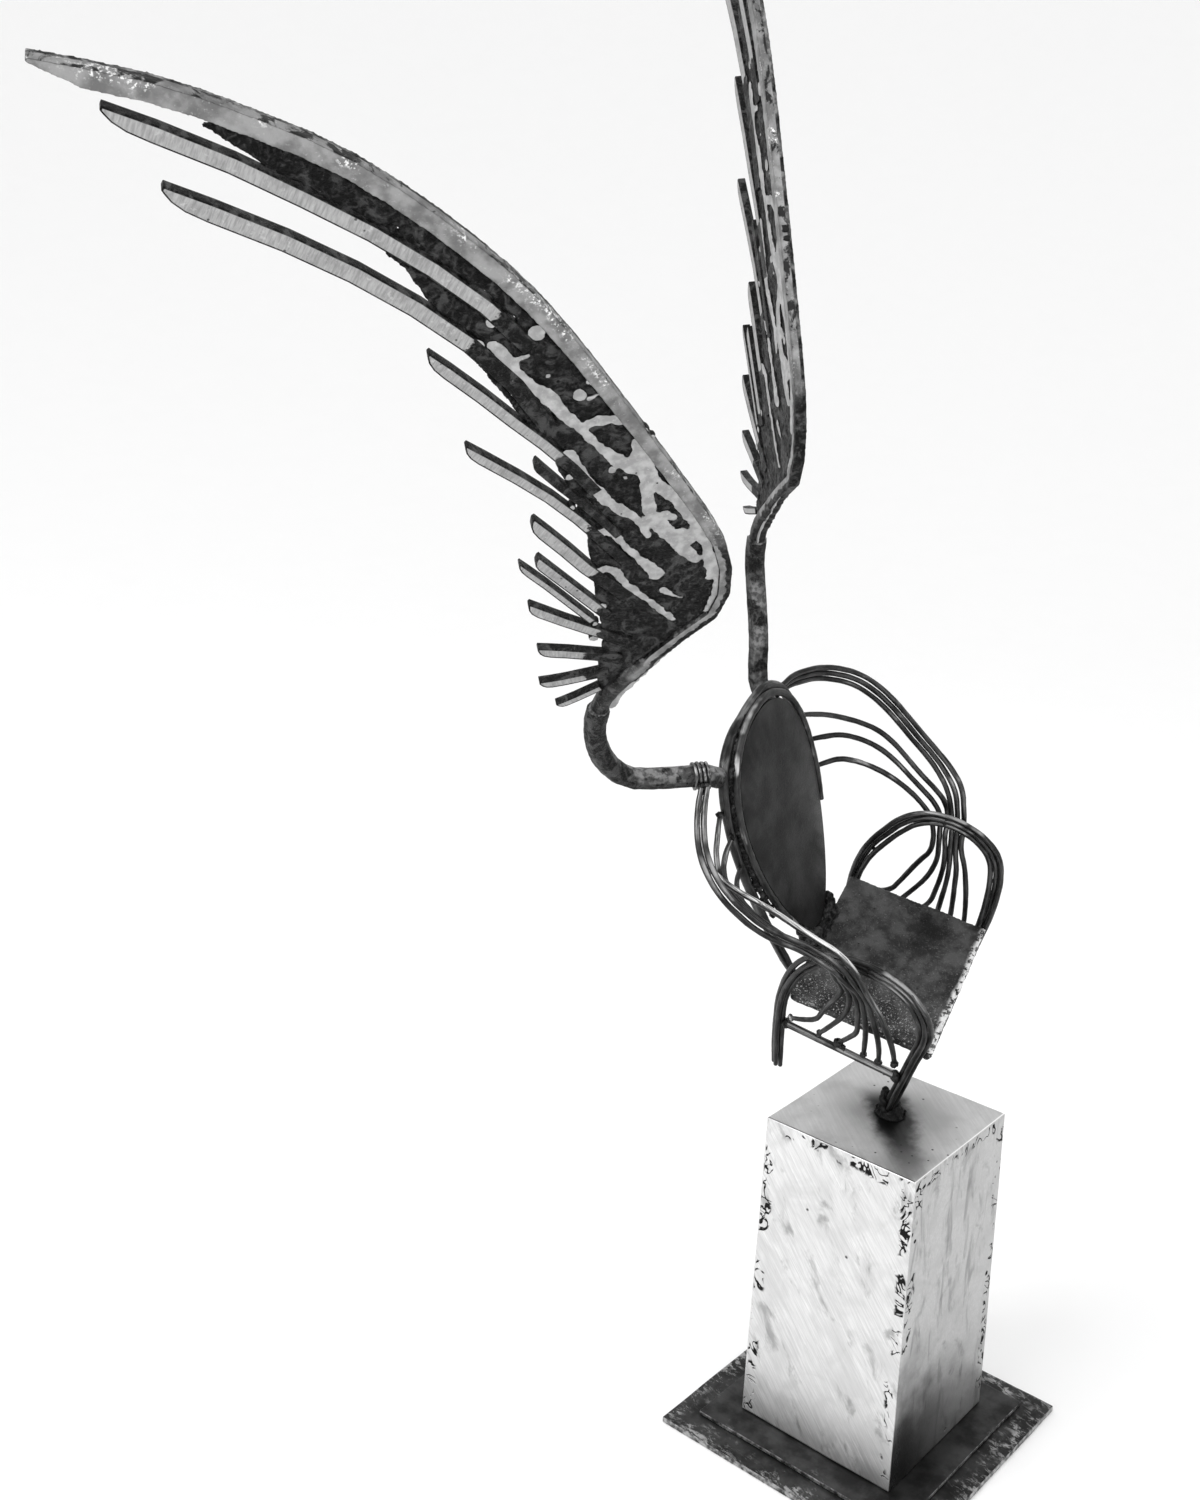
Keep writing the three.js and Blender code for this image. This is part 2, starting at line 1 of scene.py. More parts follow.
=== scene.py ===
"""Looks of the winged chair sculpture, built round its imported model. Metres, +Z up, the chair faces -Y.

Left is -X, as seen from in front of the chair. The rods, hoops, plates, wings and welds are refined
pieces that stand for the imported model's faceted ones.
"""

from __future__ import annotations

import logging
import math
import random
from collections.abc import Callable, Iterable, Iterator
from contextlib import contextmanager
from dataclasses import dataclass, field
from enum import Enum

import bmesh
import bpy
from mathutils import Euler, Matrix, Vector, noise
from mathutils.geometry import intersect_point_line


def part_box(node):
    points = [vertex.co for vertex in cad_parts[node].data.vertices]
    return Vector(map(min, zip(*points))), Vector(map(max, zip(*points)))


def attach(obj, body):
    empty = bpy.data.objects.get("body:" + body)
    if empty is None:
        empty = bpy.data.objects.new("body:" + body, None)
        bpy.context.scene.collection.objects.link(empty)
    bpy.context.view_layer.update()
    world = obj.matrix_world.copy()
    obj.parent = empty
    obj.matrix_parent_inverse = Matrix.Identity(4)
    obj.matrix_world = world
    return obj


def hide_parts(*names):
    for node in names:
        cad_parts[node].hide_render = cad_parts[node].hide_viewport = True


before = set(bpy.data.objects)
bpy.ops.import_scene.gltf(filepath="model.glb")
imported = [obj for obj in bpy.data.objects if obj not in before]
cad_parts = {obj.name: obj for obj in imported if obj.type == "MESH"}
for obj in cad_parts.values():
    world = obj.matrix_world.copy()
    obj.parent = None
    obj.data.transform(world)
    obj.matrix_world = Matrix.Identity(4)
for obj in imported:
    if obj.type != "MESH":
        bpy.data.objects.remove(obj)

Socket = bpy.types.NodeSocket
LOG = logging.getLogger("winged_chair")
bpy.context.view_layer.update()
BODY = "root"
MM = 0.001
SEED = 7
MERGE = 0.01 * MM

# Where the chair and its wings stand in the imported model, in metres and degrees
CHAIR_PLACE = Vector((21.65, 18.47, 300.1)) * MM
CHAIR_TURN = (14.14, -23.3, 12.82)
SEAT_HALF = (50 * MM, 43.3 * MM)
WING_ROOT = Vector((-52.05, 113.86, 145.24)) * MM
WING_TURN = (82.64, 0.0, 127.22)
RIGHT_TURN = Vector((-10.7, -1.4, -12.7))
RIGHT_MOVE = Vector((-16.1, -11.0, -10.4)) * MM


class Side(Enum):
    """The two sides of the chair, by the word that its nodes start with."""

    LEFT = "left"
    RIGHT = "right"


def turned_by(degrees: tuple) -> Matrix:
    """A turn about X, then Y, then Z, in degrees."""
    return Euler([math.radians(angle) for angle in degrees], "XYZ").to_matrix().to_4x4()


def chair_matrix() -> Matrix:
    """From the chair's own axes, with the seat's middle as origin, to the model's."""
    return Matrix.Translation(CHAIR_PLACE) @ turned_by(CHAIR_TURN)


def wing_matrix(side: Side) -> Matrix:
    """From a wing's plane, X outwards, Y upwards and Z square to it, to the model's axes.

    Args:
        side: which wing; the right one is the left one mirrored, then turned and moved a little.

    Returns:
        The matrix.
    """
    wing = Matrix.Translation(WING_ROOT) @ turned_by(WING_TURN)
    if side is Side.RIGHT:
        pivot = Vector((-WING_ROOT.x, WING_ROOT.y, WING_ROOT.z))
        turn = Matrix.Rotation(math.radians(RIGHT_TURN.length), 4, RIGHT_TURN.normalized())
        there = Matrix.Translation(pivot + RIGHT_MOVE) @ turn @ Matrix.Translation(-pivot)
        wing = there @ Matrix.Diagonal((-1, 1, 1, 1)) @ wing
    return chair_matrix() @ wing


# Materials


class Shader:
    """Builds one material's nodes, each method adding a node and giving back its output socket."""

    def __init__(self, name: str) -> None:
        """Starts an empty material with one Principled shader.

        Args:
            name: the material's name.
        """
        self.material = bpy.data.materials.new(name)
        self.material.use_nodes = True
        self.nodes = self.material.node_tree.nodes
        self.links = self.material.node_tree.links
        self.shader = self.nodes["Principled BSDF"]
        self.coordinates = self.nodes.new("ShaderNodeTexCoord")

    @property
    def place(self) -> Socket:
        """The point on the object, in metres."""
        return self.coordinates.outputs["Object"]

    @property
    def facing(self) -> Socket:
        """The surface's normal in the object's own axes."""
        return self.coordinates.outputs["Normal"]

    def chart(self, layer: str) -> Socket:
        """The place on one of the object's own UV charts."""
        node = self.nodes.new("ShaderNodeUVMap")
        node.uv_map = layer
        return node.outputs["UV"]

    def stored(self, name: str) -> Socket:
        """A vector stored on the object's points."""
        node = self.nodes.new("ShaderNodeAttribute")
        node.attribute_name = name
        return node.outputs["Vector"]

    def from_point(self, origin: tuple) -> Socket:
        """The way from a fixed point to the point on the object."""
        node = self.nodes.new("ShaderNodeVectorMath")
        node.operation = "SUBTRACT"
        self.put(self.place, node.inputs[0])
        node.inputs[1].default_value = origin
        return node.outputs["Vector"]

    def put(self, value: Socket | float | tuple, socket: Socket) -> None:
        """Links or sets a value on an input socket.

        Args:
            value: a socket, a number or a colour.
            socket: the input that takes it.
        """
        if isinstance(value, Socket):
            self.links.new(value, socket)
        else:
            socket.default_value = value

    def turned(self, degrees: tuple, stretch: tuple, source: Socket | None = None) -> Socket:
        """Turns and stretches the coordinates of a pattern.

        Args:
            degrees: the turns about X, Y and Z.
            stretch: the factors along X, Y and Z after the turn.
            source: the coordinates, or None for the point on the object.

        Returns:
            The new coordinates.
        """
        turn = self.nodes.new("ShaderNodeMapping")
        turn.inputs["Rotation"].default_value = tuple(math.radians(d) for d in degrees)
        self.put(source or self.place, turn.inputs["Vector"])
        scale = self.nodes.new("ShaderNodeMapping")
        scale.inputs["Scale"].default_value = stretch
        self.put(turn.outputs["Vector"], scale.inputs["Vector"])
        return scale.outputs["Vector"]

    def noise(
        self, size: float, source: Socket | None = None, detail: float = 4.0, roughness: float = 0.55,
        warp: float = 0.0,
    ) -> Socket:
        """A cloudy pattern.

        Args:
            size: the rough size of a cloud in metres.
            source: the coordinates, or None for the point on the object.
            detail: how many finer layers it has.
            roughness: how strong the finer layers are.
            warp: how far it is pushed out of shape.

        Returns:
            A socket with values round 0.5.
        """
        node = self.nodes.new("ShaderNodeTexNoise")
        self.put(source or self.place, node.inputs["Vector"])
        node.inputs["Scale"].default_value = 1 / size
        node.inputs["Detail"].default_value = detail
        node.inputs["Roughness"].default_value = roughness
        node.inputs["Distortion"].default_value = warp
        return node.outputs["Fac"]

    def cells(self, size: float) -> Socket:
        """Distance to the nearest of some scattered points.

        Args:
            size: the rough distance between the points in metres.

        Returns:
            A socket that is 0 at a point.
        """
        node = self.nodes.new("ShaderNodeTexVoronoi")
        self.put(self.place, node.inputs["Vector"])
        node.inputs["Scale"].default_value = 1 / size
        return node.outputs["Distance"]

    def range(
        self, value: Socket, low: float, high: float, to_low: float = 0.0, to_high: float = 1.0,
    ) -> Socket:
        """Maps low to high onto to_low to to_high smoothly, and clamps.

        Args:
            value: the socket to map.
            low: the value that gives to_low.
            high: the value that gives to_high.
            to_low: the first result.
            to_high: the last result.

        Returns:
            The mapped socket.
        """
        node = self.nodes.new("ShaderNodeMapRange")
        node.interpolation_type = "SMOOTHSTEP"
        if low > high:
            low, high, to_low, to_high = high, low, to_high, to_low
        for name, number in (("From Min", low), ("From Max", high), ("To Min", to_low), ("To Max", to_high)):
            node.inputs[name].default_value = number
        self.put(value, node.inputs["Value"])
        return node.outputs["Result"]

    def math(self, operation: str, first: Socket | float, second: Socket | float = 0.0) -> Socket:
        """One arithmetic step on one or two values."""
        node = self.nodes.new("ShaderNodeMath")
        node.operation = operation
        self.put(first, node.inputs[0])
        self.put(second, node.inputs[1])
        return node.outputs["Value"]

    def product(self, *values: Socket | float) -> Socket:
        """All the values multiplied."""
        result = values[0]
        for value in values[1:]:
            result = self.math("MULTIPLY", result, value)
        return result

    def total(self, *values: Socket | float) -> Socket:
        """All the values added."""
        result = values[0]
        for value in values[1:]:
            result = self.math("ADD", result, value)
        return result

    def less(self, first: Socket | float, second: Socket | float) -> Socket:
        """The first value less the second."""
        return self.math("SUBTRACT", first, second)

    def rest(self, share: Socket) -> Socket:
        """What a share leaves of 1."""
        return self.less(1.0, share)

    def unsigned(self, value: Socket) -> Socket:
        """A value without its sign."""
        return self.math("ABSOLUTE", value)

    def cloud(
        self, size: float, low: float, high: float, to_low: float = 0.0, to_high: float = 1.0, **pattern,
    ) -> Socket:
        """A cloudy pattern of a size, mapped as by range; what is named is noise's."""
        return self.range(self.noise(size, **pattern), low, high, to_low, to_high)

    def wander(self, size: float, reach: float, **pattern) -> Socket:
        """A cloudy pattern round 0, which makes an edge wander within a reach; what is named is noise's."""
        return self.product(self.less(self.noise(size, **pattern), 0.5), reach)

    def coat(self, under: Socket | float, tone: Socket | float, *shares: Socket | float) -> Socket:
        """A colour with another laid over it, as thick as the product of the shares."""
        return self.mix(self.product(*shares), under, tone)

    def axes(self, source: Socket | None = None) -> tuple:
        """The three parts of a vector."""
        node = self.nodes.new("ShaderNodeSeparateXYZ")
        self.put(source or self.place, node.inputs["Vector"])
        return tuple(node.outputs)

    def along(self, direction: tuple, source: Socket | None = None) -> Socket:
        """How far a vector reaches along a direction."""
        node = self.nodes.new("ShaderNodeVectorMath")
        node.operation = "DOT_PRODUCT"
        self.put(source or self.facing, node.inputs[0])
        node.inputs[1].default_value = Vector(direction).normalized()
        return node.outputs["Value"]

    def mix(self, share: Socket, first: Socket | float, second: Socket | float) -> Socket:
        """Blends two colours or greys.

        Args:
            share: how much of the second there is.
            first: a grey number or a colour socket.
            second: a grey number or a colour socket.

        Returns:
            The blended colour.
        """
        node = self.nodes.new("ShaderNodeMix")
        node.data_type = "RGBA"
        self.put(share, node.inputs["Factor"])
        for value, name in ((first, "A"), (second, "B")):
            socket = next(s for s in node.inputs if s.name == name and s.type == "RGBA")
            self.put((value, value, value, 1.0) if isinstance(value, float) else value, socket)
        return next(s for s in node.outputs if s.type == "RGBA")

    def blend(self, share: Socket, first: Socket | float, second: Socket | float) -> Socket:
        """Blends two numbers."""
        node = self.nodes.new("ShaderNodeMix")
        self.put(share, node.inputs["Factor"])
        self.put(first, node.inputs["A"])
        self.put(second, node.inputs["B"])
        return node.outputs["Result"]

    def bump(self, height: Socket, depth: float, normal: Socket | None = None) -> Socket:
        """Raises the surface by a pattern.

        Args:
            height: the pattern.
            depth: how far it rises in metres.
            normal: an earlier bump to add to.

        Returns:
            The new normal.
        """
        node = self.nodes.new("ShaderNodeBump")
        node.inputs["Distance"].default_value = depth
        self.put(height, node.inputs["Height"])
        if normal:
            self.put(normal, node.inputs["Normal"])
        return node.outputs["Normal"]

    def crust(self) -> tuple:
        """The colour and the height of black scaly weld metal with dull grey plates and flecks."""
        scale = self.noise(2.6 * MM, detail=7, roughness=0.72, warp=0.9)
        plates = self.noise(8 * MM, detail=5, roughness=0.6, warp=1.0)
        colour = self.mix(self.range(scale, 0.46, 0.68), 0.005, 0.05)
        colour = self.mix(self.range(plates, 0.5, 0.62, 0.0, 0.75), colour, 0.085)
        flecks = self.cloud(1.3 * MM, 0.63, 0.72, 0.0, 0.6, detail=4, roughness=0.8)
        colour = self.mix(flecks, colour, 0.24)
        colour = self.mix(self.range(self.cells(5 * MM), 0.16, 0.1), colour, 0.002)
        return colour, self.total(scale, self.product(plates, 0.8))

    def finish(
        self, colour: Socket, roughness: Socket | float, normal: Socket, metallic: float = 0.85,
    ) -> bpy.types.Material:
        """Fills the Principled shader.

        Args:
            colour: the base colour.
            roughness: the roughness.
            normal: the bumped normal.
            metallic: how metallic the whole surface is.

        Returns:
            The material.
        """
        self.put(colour, self.shader.inputs["Base Color"])
        self.put(roughness, self.shader.inputs["Roughness"])
        self.put(normal, self.shader.inputs["Normal"])
        self.shader.inputs["Metallic"].default_value = metallic
        return self.material


class Finish:
    """A finish makes its material once and gives the same one afterwards."""

    name: str
    slot: str

    def build(self) -> bpy.types.Material:
        """Makes the material."""
        raise NotImplementedError

    def material(self) -> bpy.types.Material:
        """The finish's material."""
        return bpy.data.materials.get(self.name) or self.build()


@dataclass(frozen=True)
class DarkSteel(Finish):
    """Darkened steel with soft patches, scratches and pale specks, and a lighter ground grey on faces towards
    the upper front left: part grinding wear, part painted highlight.
    """

    name: str
    slot: str
    dark: float = 0.02
    light: float = 0.07
    patch: float = 12 * MM
    scratch: float = 0.25
    speck: float = 0.0
    speck_size: float = 2.2 * MM
    # ground: how much lighter ground grey goes on faces towards the upper front left, part grinding wear and
    # part painted highlight
    ground: float = 0.0
    ground_and_sheen_grey: float = 0.55
    rubbed_and_lit: tuple = (-0.5, -0.45, 0.75)
    rubbed_and_lit_from: float = 0.55
    roughness: float = 0.42
    bump_depth: float = 0.15 * MM

    def build(self) -> bpy.types.Material:
        """Makes the material."""
        s = Shader(self.name)
        patches = s.cloud(self.patch, 0.35, 0.68, detail=5)
        colour = s.mix(patches, self.dark, self.light)
        fine = s.noise(0.5 * MM, detail=3, roughness=0.7)
        marks = s.noise(3 * MM, s.turned((24, 38, 15), (1.0, 0.03, 0.4)), detail=6, roughness=0.75)
        scratches = s.product(s.range(marks, 0.6, 0.7), self.scratch)
        colour = s.mix(scratches, colour, 0.3)
        if self.speck:
            dots = s.range(s.cells(self.speck_size), 0.34, 0.2)
            some = s.cloud(9 * MM, 0.62 - 0.25 * self.speck, 0.72 - 0.2 * self.speck)
            colour = s.coat(colour, 0.42, dots, some, 0.8)
        # Painted highlight and wear: faces turned towards the upper front left get the lighter ground grey in
        # patches, part real grinding wear, part painted highlight.
        if self.ground:
            rubbed_and_lit = s.range(s.along(self.rubbed_and_lit), self.rubbed_and_lit_from, self.rubbed_and_lit_from + 0.3)
            reach = (0.62 - 0.3 * self.ground, 0.72 - 0.25 * self.ground)
            wear_and_sheen_patches = s.cloud(7 * MM, *reach, detail=6, roughness=0.65)
            colour = s.coat(colour, self.ground_and_sheen_grey, rubbed_and_lit, wear_and_sheen_patches)
        rough = s.range(fine, 0.2, 0.8, self.roughness - 0.1, self.roughness + 0.15)
        normal = s.bump(s.noise(1.6 * MM, detail=5, roughness=0.6), self.bump_depth)
        normal = s.bump(fine, self.bump_depth * 0.15, normal)
        return s.finish(colour, rough, normal)


@dataclass(frozen=True)
class BaseSheet(Finish):
    """The base plates: smooth dark steel, with pale scuffs that thicken towards the outer edges."""

    name: str = "base_sheet"
    slot: str = "base_steel"
    half: float = 87 * MM

    def build(self) -> bpy.types.Material:
        """Makes the material."""
        s = Shader(self.name)
        x, y, _ = s.axes()
        out = s.math("MAXIMUM", s.unsigned(x), s.unsigned(y))
        wander = s.wander(14 * MM, 60 * MM, detail=5)
        rim = s.range(s.total(out, wander), self.half - 16 * MM, self.half + 4 * MM)
        colour = s.mix(s.cloud(18 * MM, 0.36, 0.66, detail=6), 0.014, 0.05)
        hatch = s.noise(4.5 * MM, s.turned((0, 0, 12), (1.0, 0.42, 1.0)), detail=7, roughness=0.78, warp=0.4)
        scuffs = s.product(rim, s.range(hatch, 0.5, 0.58))
        colour = s.coat(colour, 0.42, scuffs, 0.85)
        few = s.product(s.range(hatch, 0.66, 0.7), s.cloud(30 * MM, 0.55, 0.62, detail=3))
        colour = s.coat(colour, 0.3, few, 0.6)
        rough = s.range(hatch, 0.3, 0.7, 0.4, 0.55)
        return s.finish(colour, rough, s.bump(s.noise(3 * MM, detail=5), 0.12 * MM))


@dataclass(frozen=True)
class StreakedRod(Finish):
    """Darkened rod with long soft streaks, and lighter in stretches of its side towards the upper front left:
    part grinding wear, part painted highlight.
    """

    name: str
    slot: str = "rod_steel"
    dark: float = 0.016
    light: float = 0.05
    streak: float = 0.14
    # ground: how much lighter ground grey goes on the side towards the upper front left, part grinding wear
    # and part painted highlight
    ground: float = 0.3
    ground_and_sheen_grey: float = 0.32
    rubbed_and_lit: tuple = (-0.5, -0.45, 0.75)
    grain: str = "grain"

    def build(self) -> bpy.types.Material:
        """Makes the material."""
        s = Shader(self.name)
        grain = s.stored(self.grain)
        colour = s.mix(s.cloud(14 * MM, 0.38, 0.66, detail=5), self.dark, self.light)
        streaks = s.noise(1.3 * MM, grain, detail=4, roughness=0.6)
        colour = s.mix(s.range(streaks, 0.52, 0.72, 0.0, 0.7), colour, self.streak)
        # Painted highlight and wear: stretches of the side towards the upper front left get a lighter ground
        # grey, part grinding wear, part painted highlight.
        rubbed_and_lit = s.range(s.along(self.rubbed_and_lit), 0.5, 0.85)
        stretch = s.cloud(34 * MM, 0.66 - 0.4 * self.ground, 0.76 - 0.4 * self.ground, detail=3)
        broken = s.cloud(1.7 * MM, 0.36, 0.56, source=grain, detail=5, roughness=0.65)
        colour = s.coat(colour, self.ground_and_sheen_grey, rubbed_and_lit, stretch, broken)
        rough = s.range(streaks, 0.3, 0.7, 0.36, 0.52)
        normal = s.bump(s.noise(1.5 * MM, detail=5, roughness=0.6), 0.12 * MM)
        return s.finish(colour, rough, normal)


@dataclass(frozen=True)
class SeatSheet(Finish):
    """The seat: grainy dark steel, a burnt patch, and pale specks thick along its left and front edges."""

    name: str = "seat_sheet_steel"
    slot: str = "sheet_steel"
    burn: tuple = (31 * MM, -10 * MM)
    burn_size: float = 19 * MM

    def build(self) -> bpy.types.Material:
        """Makes the material."""
        s = Shader(self.name)
        axes = chair_matrix().to_3x3().col
        offset = s.from_point(tuple(CHAIR_PLACE))
        across = s.along(tuple(axes[0]), offset)
        deep = s.along(tuple(axes[1]), offset)
        wander = s.wander(16 * MM, 34 * MM, detail=4)
        left = s.range(s.total(across, wander), -4 * MM, -SEAT_HALF[0])
        from_front = s.total(deep, s.product(wander, 0.2))
        front = s.range(from_front, -SEAT_HALF[1] + 4.6 * MM, -SEAT_HALF[1] + 2 * MM)
        clouds = s.cloud(15 * MM, 0.38, 0.62, detail=7, roughness=0.62)
        colour = s.mix(clouds, 0.03, 0.1)
        grit = s.noise(1.1 * MM, detail=4, roughness=0.7)
        colour = s.mix(s.range(grit, 0.52, 0.72, 0.0, 0.5), colour, 0.16)
        from_burn = [s.unsigned(s.less(value, there)) for value, there in zip((across, deep), self.burn)]
        reach = s.total(*from_burn, s.wander(6 * MM, 26 * MM, detail=5))
        colour = s.mix(s.range(reach, self.burn_size, 0.3 * self.burn_size, 0.0, 0.75), colour, 0.012)
        dots = s.cloud(1.1 * MM, 0.57, 0.64, detail=3, roughness=0.8)
        colour = s.coat(colour, 0.6, dots, s.range(left, 0.0, 1.0, 0.06, 0.9))
        crust = s.product(front, s.cloud(3.4 * MM, 0.45, 0.5, detail=6, roughness=0.7))
        colour = s.mix(crust, colour, 0.8)
        rough = s.range(grit, 0.3, 0.7, 0.42, 0.62)
        normal = s.bump(s.noise(1.2 * MM, detail=5, roughness=0.65), 0.22 * MM)
        return s.finish(colour, rough, s.bump(crust, 0.3 * MM, normal))


@dataclass(frozen=True)
class BrightWalls(Finish):
    """The plinth's hand-ground walls: pale, with crossing strokes, cloudy heat marks and dark weld pits,
    painted shade over the front face and a painted contact shadow along the foot.
    """

    centre: tuple
    half: float
    top: float
    name: str = "bright_walls"
    slot: str = "plinth_steel"
    light: float = 0.74
    shade: float = 0.58
    front_shade: float = 0.42
    pit_band: float = 9 * MM
    slope: float = 3.2 / 205.7

    def pits(self, s: Shader) -> Socket:
        """The dark squiggles and pits beside the welded edges.

        Args:
            s: the shader that takes the nodes.

        Returns:
            A mask.
        """
        x, y, z = s.axes()
        from_x = s.less(self.half, s.unsigned(s.less(x, self.centre[0])))
        from_y = s.less(self.half, s.unsigned(s.less(y, self.centre[1])))
        rim = s.less(self.top, z)
        corner = s.total(from_x, from_y, s.product(rim, self.slope, 2.0))
        edge = s.math("MINIMUM", corner, rim)
        wander = s.wander(18 * MM, 9 * MM)
        band = s.total(edge, wander)
        near = s.range(band, self.pit_band, 0.75 * self.pit_band)
        near = s.product(near, s.range(edge, 0.6 * MM, 1.4 * MM))
        curl = s.unsigned(s.less(s.noise(12 * MM, detail=1.5, warp=1.6), 0.5))
        squiggle = s.range(curl, 0.05, 0.025)
        broken = s.cloud(13 * MM, 0.49, 0.54, source=s.turned((0, 0, 0), (1, 1, 0.7)), detail=2)
        blobs = s.product(s.range(s.cells(11 * MM), 0.18, 0.13), s.cloud(21 * MM, 0.5, 0.55, detail=1))
        welded = s.product(near, s.math("MAXIMUM", s.product(squiggle, broken), blobs))
        lone = s.range(s.cells(34 * MM), 0.04, 0.02)
        return s.math("MAXIMUM", welded, s.product(lone, 0.8))

    def build(self) -> bpy.types.Material:
        """Makes the material."""
        s = Shader(self.name)
        x, _, z = s.axes()
        strokes = s.noise(1.4 * MM, s.turned((38, 0, 0), (1.0, 1.0, 0.05)), detail=6, roughness=0.7)
        crossing = s.noise(1.2 * MM, s.turned((-50, 12, 0), (1.0, 0.06, 1.0)), detail=5, roughness=0.7)
        clouds = s.noise(26 * MM, detail=5, warp=0.8)
        upright = s.turned((24, 0, 0), (1, 1, 0.45))
        smudge = s.cloud(13 * MM, 0.55, 0.7, source=upright, detail=6, roughness=0.6, warp=0.5)
        front = s.range(s.along((0, -1, 0)), 0.5, 0.9)
        grey = s.mix(s.range(strokes, 0.34, 0.68), self.shade, self.light)
        grey = s.coat(grey, 0.92, s.range(crossing, 0.5, 0.7), 0.4)
        grey = s.coat(grey, 0.5, s.range(clouds, 0.42, 0.66), 0.45)
        grey = s.coat(grey, 0.24, smudge, 0.7)
        # Painted shade: the front face is darker than the left one, as the light falls on it.
        grey = s.coat(grey, 0.22, front, self.front_shade)
        drips = s.noise(8 * MM, s.turned((0, 0, 0), (1, 1, 0.22)), detail=5, warp=0.7)
        grey = s.coat(grey, 0.13, front, s.range(drips, 0.52, 0.7), 0.55)
        low = s.range(s.total(z, s.product(s.noise(20 * MM, detail=4), 80 * MM)), 158 * MM, 66 * MM)
        near = s.range(x, 50 * MM, -40 * MM)
        grey = s.coat(grey, 0.012, low, front, s.total(s.product(near, 0.82), 0.16))
        # Painted contact shadow: a dark band along the foot of the walls, where they stand on the base plate.
        seam = s.range(z, 9 * MM, 7.2 * MM)
        grey = s.mix(seam, grey, 0.03)
        pits = self.pits(s)
        grey = s.mix(pits, grey, 0.012)
        rough = s.blend(pits, s.range(strokes, 0.3, 0.7, 0.3, 0.46), 0.85)
        normal = s.bump(strokes, 0.04 * MM)
        normal = s.bump(crossing, 0.03 * MM, normal)
        normal = s.bump(s.product(pits, -1.0), 0.5 * MM, normal)
        return s.finish(grey, rough, normal, 0.75)


@dataclass(frozen=True)
class ScorchedTop(Finish):
    """The plinth's lid: ground steel with a burn round the standing foot that runs to the near corner."""

    foot: tuple
    corner: tuple
    name: str = "scorched_top"
    slot: str = "plinth_steel"

    def build(self) -> bpy.types.Material:
        """Makes the material."""
        s = Shader(self.name)
        strokes = s.noise(1.5 * MM, s.turned((0, 0, 40), (1.0, 0.05, 1.0)), detail=5, roughness=0.7)
        clouds = s.noise(24 * MM, detail=4)
        grey = s.mix(s.range(strokes, 0.3, 0.75), 0.54, 0.66)
        grey = s.coat(grey, 0.32, s.range(clouds, 0.4, 0.7), 0.45)
        run = Vector(self.corner) - Vector(self.foot)
        way = run.normalized()
        offset = s.from_point(self.foot)
        gone = s.along(tuple(way), offset)
        off = s.unsigned(s.along((-way.y, way.x, 0.0), offset))
        off = s.total(off, s.wander(6 * MM, 9 * MM, detail=5))
        round_foot = s.range(s.unsigned(gone), 44 * MM, 0.0)
        smoke = s.product(s.range(off, 46 * MM, 2 * MM), round_foot)
        grey = s.coat(grey, 0.1, smoke, 0.8)
        plume = s.product(s.range(off, 16 * MM, 2 * MM), s.range(gone, 1.3 * run.length, 0.35 * run.length))
        plume = s.product(plume, s.range(gone, -14 * MM, 2 * MM))
        grey = s.coat(grey, 0.008, plume, 0.97)
        core = s.product(s.range(off, 17 * MM, 7 * MM), s.range(s.unsigned(gone), 32 * MM, 12 * MM))
        grey = s.mix(core, grey, 0.006)
        specks = s.product(s.range(s.cells(8 * MM), 0.11, 0.07), s.range(off, 60 * MM, 10 * MM))
        grey = s.mix(specks, grey, 0.02)
        x, y, _ = s.axes()
        grey = s.mix(s.range(x, self.corner[0] + 1.6 * MM, self.corner[0] + 0.8 * MM, 0.0, 0.8), grey, 0.04)
        grey = s.mix(s.range(y, self.corner[1] + 1.5 * MM, self.corner[1] + 0.7 * MM), grey, 0.95)
        normal = s.bump(strokes, 0.04 * MM)
        return s.finish(grey, s.range(strokes, 0.3, 0.7, 0.34, 0.48), normal, 0.75)


@dataclass(frozen=True)
class GroundBar(Finish):
    """Flat bar ground across its length as far as a place on its chart, and scaly dark steel beyond it."""

    name: str = "ground_bar"
    slot: str = "wing_steel"
    light: float = 0.44
    shade: float = 0.25
    axis: int = 0
    ground_from: float = 0.0
    stroke_turn: float = 14.0
    layer: str = "along"

    def build(self) -> bpy.types.Material:
        """Makes the material."""
        s = Shader(self.name)
        chart = s.chart(self.layer)
        across = s.turned((0, 0, self.stroke_turn), (1.0, 0.14, 1.0), chart)
        strokes = s.noise(1.0 * MM, across, detail=5, roughness=0.65)
        clouds = s.noise(10 * MM, detail=5)
        grey = s.mix(s.range(strokes, 0.3, 0.7), self.shade, self.light)
        grey = s.coat(grey, 0.16, s.range(clouds, 0.5, 0.72), 0.5)
        grey = s.coat(grey, 0.6, s.cloud(2.2 * MM, 0.6, 0.68, detail=6), 0.4)
        pits = s.range(s.cells(7 * MM), 0.1, 0.06)
        grey = s.coat(grey, 0.02, pits, 0.8)
        ragged = s.wander(3 * MM, 7 * MM, detail=4)
        gone = s.total(s.axes(chart)[self.axis], ragged)
        bare = s.range(gone, self.ground_from - 0.4 * MM, self.ground_from + 0.4 * MM)
        crust, height = s.crust()
        colour = s.mix(bare, crust, grey)
        rough = s.blend(bare, 0.6, s.range(strokes, 0.3, 0.7, 0.34, 0.5))
        normal = s.bump(strokes, 0.05 * MM)
        normal = s.bump(s.product(height, s.rest(bare)), 1.2 * MM, normal)
        return s.finish(colour, rough, normal, 0.8)


